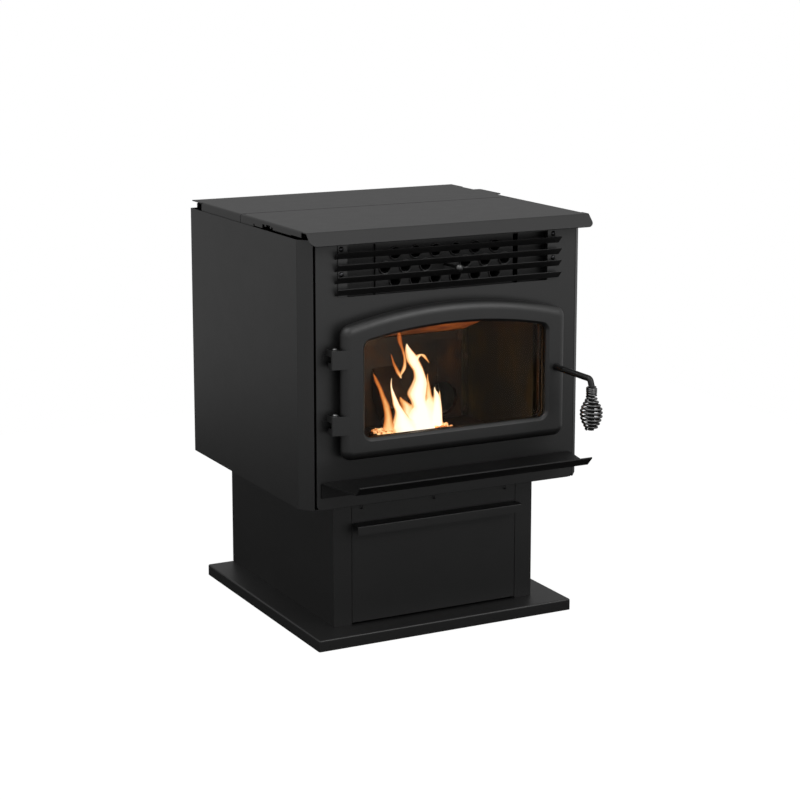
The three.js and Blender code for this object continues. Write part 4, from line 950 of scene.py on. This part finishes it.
straps = []
for low, earLow, earTop, high in map(hingeHeights, hinge["heights"]):
    straps += [sleeve(low, earLow - gap), sleeve(earTop + gap, high)]
    # the folded strap comes round outside the knuckles, cut back where the bracket passes
    for z0, z1, depth in ((low, earLow - gap, -9), (earLow - gap, earTop + gap, -22),
            (earTop + gap, high, -2)):
        leaf = foldOutline([(hinge["strapX"], depth), (hinge["strapX"], hinge["strapY"]),
                (hinge["strapEnd"], door["face"] - 0.4)], 2, 3)
        straps.append(plate([leaf], z0 - lap, z1 + lap, 0.2, "z"))
finishedPiece("doorFrame", [doorBody] + straps, cast, "door")
glass = {"front": -21.7, "back": -16.7, "grow": 8}
finishedPiece("doorGlass", plate([windowLoop(glass["grow"])], glass["front"], glass["back"]), pane,
    "door")
cadPiece("glass_retainer", sootWithPaintedGlow, "door", 0.3)
seal = {"grow": 10.5, "depth": 0.1, "strand": 1.55, "offset": 1.5, "lay": 13, "spacing": 1.1}
sealLoop = windowLoop(seal["grow"])
sealSeed = meshOf([(u, seal["depth"], v) for u, v in sealLoop],
    edges=[(k, (k + 1) % len(sealLoop)) for k in range(len(sealLoop))])
cord = grown(twisting, sealSeed, Lay=seal["lay"] / 1000, Strand=seal["strand"] / 1000,
    Offset=seal["offset"] / 1000, Spacing=seal["spacing"] / 1000, Material=rope)
finishedPiece("doorSeal", cord, rope, "door", replaced=["door_gasket"], sharp=60, flatFaces=False)
for name, low in zip(("Upper", "Lower"), hinge["heights"]):
    low, earLow, earTop, high = hingeHeights(low)
    pinTop = lathe([(0, high + 4.6), (2.5, high + 4.4), (4.8, high + 3.4), (hinge["cap"],
                high + 1.6), (hinge["cap"], high + gap), (0, high + gap)], "z", hingeAxis, 24)
    # the ear's neck keeps to the hinge's right half, so that the strap swings past it
    bracket = [block(hinge["x"] - hinge["plateLeft"], hinge["x"] + hinge["knuckle"],
            hinge["plateFront"], panel["front"], earLow, earTop, 0.4),
        block(hinge["x"] - hinge["earLeft"], hinge["x"] + hinge["ear"],
            hinge["y"], hinge["plateFront"] + 1, earLow + gap, earTop - gap, 0.3),
        rod(hinge["ear"], earLow + gap, earTop - gap, 28), rod(hinge["pin"], low - 1, high + 2, 20)]
    finishedPiece("hingeBracket" + name, bracket, cast)
    finishedPiece("hingePin" + name, pinTop, springWire)
print("door and hinges made")

handle = {"x": 216.7, "z": 508.4, "rod": 6.35, "elbow": (238.7, -120, 499.4),
    "gripTop": (239.3, -125, 485.4), "gripLength": 85, "belly": 20, "wire": 2.25, "turns": 13.5,
    "tongueHalf": 5.3, "tongueReach": 28, "bushWall": 2.4}
gripX, gripY, gripZ = handle["gripTop"]
rodPath = roundedPath([(handle["x"], -11, handle["z"]),
        (handle["x"], door["face"] - 26, handle["z"]), handle["elbow"], handle["gripTop"],
        (gripX, gripY, gripZ - handle["gripLength"])], [14, 9, 6])
tongue = block(handle["x"] - 4.8, handle["x"] + handle["tongueReach"], -2.9, -0.1,
    handle["z"] - handle["tongueHalf"], handle["z"] + handle["tongueHalf"], 0.6)
stub = lathe([(0, -12), (handle["rod"], -12), (handle["rod"], -0.3), (0, -0.3)], "y",
    (handle["x"], 0, handle["z"]), 20)
finishedPiece("handleRod", [sweptRod(rodPath, handle["rod"] - 0.3, 20), tongue, stub], rodSteel,
    "latch")
bushOuter = handle["rod"] + handle["bushWall"]
bush = lathe([(handle["rod"], 0), (bushOuter, 0), (bushOuter, 0.5), (handle["rod"], 0.5)], "y",
    (handle["x"], door["face"] - 0.5, handle["z"]), 28, True)
finishedPiece("rodBush", bush, rodSteel, "door")
belt = [(0, 0), (0.3, 0.0), (0.4, 0.2), (0.52, 0.68), (0.67, 1.0), (0.82, 0.75), (0.94, 0.3),
    (1, 0.1)]
rise = [(0, 0), (0.3, 0.19), (0.36, 0.26), (0.6, 0.53), (0.85, 0.83), (1, 1)]
grip = grown(coilTree(belt, rise), meshOf([]), Turns=handle["turns"],
    Length=(handle["gripLength"] - 4) / 1000, Seat=(handle["rod"] + handle["wire"]) / 1000,
    Belly=handle["belly"] / 1000, Wire=handle["wire"] / 1000, Material=springWire)
grip.transform(Matrix.Translation(at(gripX, gripY, gripZ - 2)))
finishedPiece("coilGrip", welded(grip), springWire, "latch", sharp=60, flatFaces=False)
cadPiece("latch_keeper", zinc, edge=0.3)

exchanger = {"front": 20, "pitch": 42.8, "rows": (747, 721, 695), "tube": 12.5, "wall": 1.5,
    "fillerLip": (223, 224.5, 7, 24.5, 676, 774)}
tubePlaces = []
for row, z in enumerate(exchanger["rows"]):
    offsets = (-3, -2, -1, 1, 2, 3) if row == 1 else (-2.5, -1.5, -0.5, 0.5, 1.5, 2.5)
    tubePlaces += [(step * exchanger["pitch"], exchanger["front"] - 0.8, z) for step in offsets]
tubeProfile = ((0.9, 1.2), (0.9, -0.6), (0.3, -1.4), (-0.6, -1.6), (-exchanger["wall"], -1.2),
    (-exchanger["wall"], 10), (0, 10), (0, 1.2))
tubeEnd = lathe([(exchanger["tube"] + grow, y) for grow, y in tubeProfile], "y", rowOrigin, 32,
    True)
cadPiece("heat_exchanger", coat, edge=0.3, extra=[atEach(tubePlaces, tubeEnd, coat)])
cadPiece("tube_scraper", rodSteel, "scraper", 0.2)
knob = {"radius": 7.5, "y": -33, "z": 718.8, "neck": 3.6}
knobProfile = [(0, -knob["radius"])] + arc(0, 0, knob["radius"], -quarter, quarter, 16)[1:-2]
knobProfile += [(knob["neck"], 7.2), (0, 7.2)]
finishedPiece("scraperKnob", lathe(knobProfile, "y", (0, knob["y"], knob["z"]), 32), knobSteel,
    "scraper")
cadPiece("outlet_filler_left", coat)
cadPiece("outlet_filler_right", coat, extra=[block(*exchanger["fillerLip"], 0.3)])
print("exchanger made")

cadPiece("firebox_shell", soot)
liner = {"bolts": (369, 479, 590), "boltX": 186, "boltFront": 272.6, "strip": 5.5,
    "stripBack": 274.6, "low": 356, "high": 604, "seamX": 124, "seamHalf": 0.8, "seamHigh": 520,
    "wallBolts": (441, 478), "wall": 280, "seam": (279.2, 280.3), "head": (4.6, 4.5),
    "wallHead": (2.6, 3)}
boltPlaces = [(side * liner["boltX"], liner["boltFront"], z) for side in (-1, 1)
    for z in liner["bolts"]]
wallPlaces = [(side * liner["seamX"], liner["wall"], z) for side in (-1, 1)
    for z in liner["wallBolts"]]
linerBolts = [atEach(boltPlaces, hexHead(*liner["head"]), charred),
    atEach(wallPlaces, hexHead(*liner["wallHead"]), charred)]
for label, material in (("left", sootWithPaintedGlow), ("right", sootWithPaintedGlow), ("back", soot)):
    cadPiece("firebox_liner_" + label, material, edge=0.5)
for x in (-liner["seamX"], liner["seamX"]):
    linerBolts.append(block(x - liner["seamHalf"], x + liner["seamHalf"], *liner["seam"],
            liner["low"], liner["seamHigh"], 0.3))
finishedPiece("linerBolts", linerBolts, charred)
deflector = {"half": 176, "frontY": 96, "frontZ": 603, "backY": 268, "backZ": 536,
    "lip": 15, "thick": 3, "bend": 3.5, "catch": (145, 176, 255, 268, 540, 546),
    "catchHook": (159, 169, 255, 258, 517, 546)}
slope = foldOutline([(deflector["frontY"], deflector["frontZ"]),
        (deflector["backY"], deflector["backZ"]), (deflector["backY"] + 3, deflector["backZ"] + 6)],
    deflector["thick"], deflector["bend"])
cadPiece("baffle_plate", scaleWithPaintedGlow, edge=0.6,
    extra=[plate([slope], -deflector["half"], deflector["half"], 0.5, "x")])
strips = [block(x - liner["strip"], x + liner["strip"], liner["boltFront"], liner["stripBack"],
        liner["low"], liner["high"], 0.4) for x in (-liner["boltX"], liner["boltX"])]
finishedPiece("cornerStrips", strips, sootWithPaintedGlow)
# the lip under the deflector's back edge takes the darker charred finish, a painted shade band
# where the deflector's shadow falls
lipBarPaintedShade = block(-deflector["half"], deflector["half"], deflector["backY"] - 2,
    deflector["backY"] + 2, deflector["backZ"] - deflector["lip"], deflector["backZ"] - 1, 0.4)
catch = [block(*deflector[key], 0.6) for key in ("catch", "catchHook")]
finishedPiece("deflectorLip", [lipBarPaintedShade] + catch, charred)
cadPiece("burn_pot", charred, "pot", 0.7)
cadPiece("burn_pot_support", charred, edge=0.7)


def bowed(front, back, level, crown, half, wave=0, count=8):
    # stations of a sheet that rises in its middle, with an uneven wave if it has one
    return [(front + (back - front) * k / count, level + crown * math.sin(math.pi * k / count)
            + wave * math.sin(k * 2.3), half) for k in range(count + 1)]


def scattered(sheet, plan, finish):
    return grown(scattering, sheet, Spacing=plan["spacing"] / 1000, Density=plan["perMetre"],
        Radius=pelletRadius / 1000, Length=plan["pellet"] / 1000, Seed=plan["seed"],
        Material=finish)


pelletRadius = 3.3
pot = {"half": 72, "front": 108, "back": 180, "fill": 369, "pellet": 14, "spacing": 5.5,
    "perMetre": 26000.0, "seed": 7}
coalBed = bentSheet(bowed(pot["front"], pot["back"], pot["fill"], 3, pot["half"], 0.8), 5, 14, 0)
coalPellets = scattered(coalBed.copy(), pot, coals)
finishedPiece("coalBed", [coalBed, coalPellets], coals, "pot", sharp=50, flatFaces=False)

# Each tongue: points of (x, y, z, half width), from the coals up.
tongues = [
    [(12, 145, 362, 42), (12, 145, 384, 34), (15, 145, 406, 22), (10, 145, 425, 17),
     (5, 145, 444, 21), (10, 145, 461, 18), (12, 145, 474, 14), (9, 145, 488, 12),
     (4, 145, 498, 13), (-3, 145, 510, 14), (-8, 145, 521, 12), (-13, 145, 531, 8),
     (-16, 145, 539, 4), (-17, 145, 545, 0.5)],
    [(1, 140, 511, 4), (5, 140, 518, 6), (11, 140, 522, 7), (18, 140, 518, 5), (24, 140, 511, 3),
     (30, 140, 503, 0.6)],
    [(36, 150, 395, 14), (37, 150, 417, 10), (34, 150, 437, 8), (33, 150, 458, 4),
     (32, 150, 469, 2), (32, 150, 479, 0.5)],
    [(48, 145, 362, 20), (47, 145, 385, 16), (49, 145, 405, 13), (50, 145, 425, 9),
     (49, 145, 437, 6), (46, 145, 445, 3), (45, 145, 452, 0.6)],
    [(55, 146, 380, 9), (56, 146, 411, 6), (56, 146, 427, 4), (57, 146, 436, 2),
     (57, 146, 443, 0.6)],
    [(-29, 140, 366, 30), (-29, 140, 388, 23), (-32, 140, 401, 16), (-36, 140, 413, 10),
     (-42, 140, 425, 8), (-46, 140, 437, 6), (-50, 140, 449, 4), (-53, 140, 460, 2.2),
     (-54, 140, 470, 1.4), (-53, 140, 480, 0.5)],
    [(-62, 136, 378, 14), (-62, 136, 403, 9), (-66, 136, 426, 8), (-73, 136, 444, 6),
     (-80, 136, 463, 5), (-87, 136, 477, 5), (-91, 136, 487, 3), (-95, 136, 494, 0.6)],
    [(-8, 152, 380, 20), (-10, 152, 403, 17), (-12, 152, 415, 14), (-18, 152, 424, 10),
     (-24, 152, 431, 6), (-28, 152, 438, 0.8)],
    [(-32, 140, 478, 1), (-35, 140, 484, 4), (-39, 140, 491, 5), (-43, 140, 499, 4.5),
     (-48, 140, 509, 3.4), (-51, 140, 518, 2.2), (-54, 140, 528, 0.6)],
    [(-33, 142, 482, 1), (-29, 142, 489, 4), (-25, 142, 496, 4.6), (-23, 142, 504, 3.8),
     (-23, 142, 515, 3), (-25, 142, 526, 3), (-29, 142, 538, 3.6), (-33, 142, 549, 5.5),
     (-35, 142, 559, 6), (-35, 142, 568, 4), (-34, 142, 577, 0.6)],
    [(2, 148, 365, 26), (0, 148, 390, 22), (6, 148, 412, 16), (14, 148, 430, 10), (20, 148, 446, 7),
     (24, 148, 462, 4), (24, 148, 474, 0.6)],
    [(-6, 134, 366, 56), (-10, 134, 376, 46), (-14, 134, 384, 30), (-16, 134, 391, 14),
     (-16, 134, 397, 1)],
    [(30, 156, 366, 34), (28, 156, 392, 30), (26, 156, 410, 22), (30, 156, 424, 10),
     (34, 156, 432, 1)],
]
heatOf = (1.05, 0.6, 0.62, 1.1, 0.8, 1.0, 0.46, 0.6, 0.54, 0.5, 1.0, 0.95, 0.9)


def smoothThrough(points, steps=5):
    # Catmull-Rom through points of any size
    out = []
    for i in range(len(points) - 1):
        p = [points[max(i - 1, 0)], points[i], points[i + 1], points[min(i + 2, len(points) - 1)]]
        for k in range(steps):
            t = k / steps
            out.append(tuple(0.5 * (2 * b + (c - a) * t + (2 * a - 5 * b + 4 * c - d) * t * t
                        + (3 * b - a - 3 * c + d) * t ** 3) for a, b, c, d in zip(*p)))
    out.append(points[-1])
    return out


def heatFrom(hot, share, inside):
    # a tongue is hottest low down and along its middle
    return hot * (1.08 - 0.45 * share) * (0.04 + inside ** 1.25)


def heatWithin(rows, hot, x, z):
    # the heat that a tongue has at a point seen from the front
    for i in range(len(rows) - 1):
        z0, z1 = rows[i][2], rows[i + 1][2]
        if min(z0, z1) <= z <= max(z0, z1) and z0 != z1:
            part = (z - z0) / (z1 - z0)
            middle, half = [rows[i][n] + (rows[i + 1][n] - rows[i][n]) * part for n in (0, 3)]
            inside = max(1 - ((x - middle) / max(half, 0.5)) ** 2, 0) ** 0.5
            return heatFrom(hot, (i + part) / (len(rows) - 1), inside)
    return 0


def flameMesh(tongues, heatOf, sides=20, flatness=0.34):
    allRows = [smoothThrough(points) for points in tongues]
    points, heats, faces = [], [], []
    for own, (rows, hot) in enumerate(zip(allRows, heatOf)):
        others = [pair for k, pair in enumerate(zip(allRows, heatOf)) if k != own]
        faces += [tuple(len(points) + k for k in face) for face in capped(len(rows), sides)]
        for i, (x, y, z, half) in enumerate(rows):
            for turn in [2 * math.pi * k / sides for k in range(sides)]:
                across = x + max(half, 0.5) * math.cos(turn)
                points.append((across, y + max(half, 0.5) * flatness * math.sin(turn), z))
                heat = heatFrom(hot, i / (len(rows) - 1), abs(math.sin(turn)))
                heats.append(max([heat] + [heatWithin(*pair, across, z) for pair in others]))
    mesh = meshOf(points, faces)
    layer = mesh.uv_layers.new(name="heat")
    for loop, spot in zip(mesh.loops, layer.data):
        spot.uv = (heats[loop.vertex_index], 0.5)
    return welded(mesh)


flames = finishedPiece("flames", flameMesh(tongues, heatOf), flame, "pot", sharp=180,
    flatFaces=False)
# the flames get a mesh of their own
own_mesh(flames)
print("firebox and fire made")

for node, material, body, edge in (("air_box", coat, "cabinet", 0.4),
        ("intake_pipe", zinc, "cabinet", 0.3), ("igniter", zinc, "cabinet", 0.4),
        ("pellet_hopper", galvanised, "cabinet", 0.4), ("auger_tube", augerSteel, "cabinet", 0.4),
        ("auger_screw", augerSteel, "auger", 0.3), ("auger_motor", motorSteel, "cabinet", 1.5),
        ("pellet_chute", charred, "cabinet", 0.4), ("exhaust_housing", castAluminium, "cabinet",
            0.5), ("exhaust_impeller", zinc, "exhaust_wheel", 0.2), ("exhaust_motor", motorSteel,
            "cabinet", 1.5), ("room_fan_housing", galvanised, "cabinet", 0.5), ("room_fan_wheel",
            galvanised, "room_wheel", 0.2), ("room_fan_motor", motorSteel, "cabinet", 0.4),
        ("back_panel", coat, "cabinet", 0.4), ("power_inlet", casePlastic, "cabinet", 0.5),
        ("control_panel", casePlastic, "cabinet", 1.2), ("control_dial", dialPlastic, "dial", 1.2)):
    # the hopper's thin rim is a ring that doesn't merge into one face
    cadPiece(node, material, body, edge, "igniterTube" if node == "igniter"
        else None, merge=node != "pellet_hopper")
print("feed, fans and controls made")


def upperFaces(mesh):
    # only what faces up, as a seed for scattering
    return edited([mesh], lambda work: bmesh.ops.delete(work,
            geom=[f for f in work.faces if f.normal.z < 0.5], context="FACES"))


rear = {"pedestal": (208, 552, (45, 150, 255)), "shell": (294.5, 550, (300, 455, 610, 765)),
    "head": (4.5, -2.4)}
rearPlaces = [(side * x, y, z) for x, y, heights in (rear["pedestal"], rear["shell"])
    for side in (-1, 1) for z in heights]
finishedPiece("rearScrews", atEach(rearPlaces, screwHead(*rear["head"]), darkScrew),
        darkScrew)
heap = {"half": 218, "front": 338, "back": 514, "level": 722, "crown": 16, "toWall": 7,
    "pellet": 16, "spacing": 6.2, "perMetre": 30000.0, "seed": 11}


def heapSheet(grow):
    return bentSheet(bowed(heap["front"] - grow, heap["back"] + grow, heap["level"], heap["crown"],
            heap["half"] + grow), 5, 20, 0)


# the fill reaches the hopper's walls; the loose pellets keep their own half length from them
pelletSheet = heapSheet(heap["toWall"])
pellets = scattered(upperFaces(heapSheet(0)), heap, wood)
finishedPiece("hopperPellets", [pelletSheet, pellets], wood, sharp=50, flatFaces=False)
print("rear screws and pellets made")

studio = {"floorSize": 3.4, "backdrop": "#ffffff", "ambient": 0.28, "keyPower": 30, "keySize": 2.0,
    "keyPlace": (-1.2, -0.6, 2.6), "fillPower": 32, "fillSize": 1.6, "fillPlace": (1.2, -2.4, 2.4),
    "firePower": 1.8, "firePlace": (5, 120, 430), "floorTone": "#5a5a5a", "paperGlow": 0.97,
    "roomFront": 1.0, "roomBehind": 0.42}
bpy.ops.mesh.primitive_plane_add(size=studio["floorSize"], location=(0, 0, -0.0004))
floor = bpy.context.object
floor.name = "studioFloor"


def emptyTree(owner):
    owner.use_nodes = True
    owner.node_tree.nodes.clear()
    return owner.node_tree


# matt white paper, which glows up to the backdrop's white where the camera sees it
paper = bpy.data.materials.new("palePaperSweep")
tree = emptyTree(paper)
matt = outOf(tree, "ShaderNodeBsdfDiffuse", {"Color": fromHex(studio["floorTone"])})
seen = outOf(tree, "ShaderNodeLightPath", {}, "Is Camera Ray")
glow = outOf(tree, "ShaderNodeEmission",
    {"Color": (1, 1, 1, 1), "Strength": maths(tree, "MULTIPLY", seen, studio["paperGlow"])})
addNode(tree, "ShaderNodeOutputMaterial",
    {"Surface": outOf(tree, "ShaderNodeAddShader", {0: matt, 1: glow})})
floor.data.materials.append(paper)

world = bpy.data.worlds.new("studioWorld")
bpy.context.scene.world = world
tree = emptyTree(world)
ray = addNode(tree, "ShaderNodeLightPath").outputs
through = maths(tree, "MAXIMUM", ray["Is Camera Ray"], ray["Is Transmission Ray"])
direct = maths(tree, "LESS_THAN", ray["Diffuse Depth"], 0.5)
# the room that gloss shows is bright in front of the stove and dimmer behind it
heading = outOf(tree, "ShaderNodeTexCoord", {}, "Generated")
depthWise = outOf(tree, "ShaderNodeSeparateXYZ", {0: heading}, 1)
shownLevel = ranged(tree, depthWise, studio["roomFront"], studio["roomBehind"], -0.6, 0.6)
room, white, shown = [outOf(tree, "ShaderNodeBackground", {"Color": colour, "Strength": strength})
    for colour, strength in (((1, 1, 1, 1), studio["ambient"]), (fromHex(studio["backdrop"]), 1.0),
        ((1, 1, 1, 1), shownLevel))]
soft = outOf(tree, "ShaderNodeMixShader", {0: ray["Is Glossy Ray"], 1: room, 2: shown})
mixed = outOf(tree, "ShaderNodeMixShader",
    {0: maths(tree, "MULTIPLY", through, direct), 1: soft, 2: white})
addNode(tree, "ShaderNodeOutputWorld", {"Surface": mixed})


def softLamp(name, place, target, power, size):
    lamp = bpy.data.lights.new(name, "AREA")
    lamp.energy = power
    lamp.size = size
    holder = show(lamp, name)
    holder.location = place
    holder.rotation_euler = (Vector(target) - Vector(place)).to_track_quat("-Z", "Y").to_euler()


softLamp("keyLamp", studio["keyPlace"], (0, 0, 0.6), studio["keyPower"], studio["keySize"])
softLamp("fillLamp", studio["fillPlace"], (0, 0, 0.5), studio["fillPower"], studio["fillSize"])
fire = bpy.data.lights.new("fireGlow", "POINT")
fire.energy = studio["firePower"]
fire.color = (1.0, 0.5, 0.2)
fire.shadow_soft_size = 0.03
fireHolder = show(fire, "fireGlow")
fireHolder.location = at(*studio["firePlace"])
fireHolder.visible_camera = fireHolder.visible_transmission = fireHolder.visible_glossy = False

shot = {"place": (-1.8542, -3.6379, 1.3180), "yaw": 0.4793, "pitch": 0.1814, "focalPixels": 2062.1,
    "horizonPixels": 80, "frame": 800}
camera = bpy.data.cameras.new("photoCamera")
camera.sensor_width = 36
camera.lens = shot["focalPixels"] * camera.sensor_width / shot["frame"]
camera.shift_y = -shot["horizonPixels"] / shot["frame"]
camera.clip_start = 0.05
camera.clip_end = 60
cameraHolder = show(camera, "photoCamera")
cameraHolder.location = shot["place"]
cameraHolder.rotation_euler = (math.pi / 2 - shot["pitch"], 0, -shot["yaw"])
bpy.context.scene.camera = cameraHolder
bpy.context.scene.view_settings.view_transform = "Standard"
print("stage set")
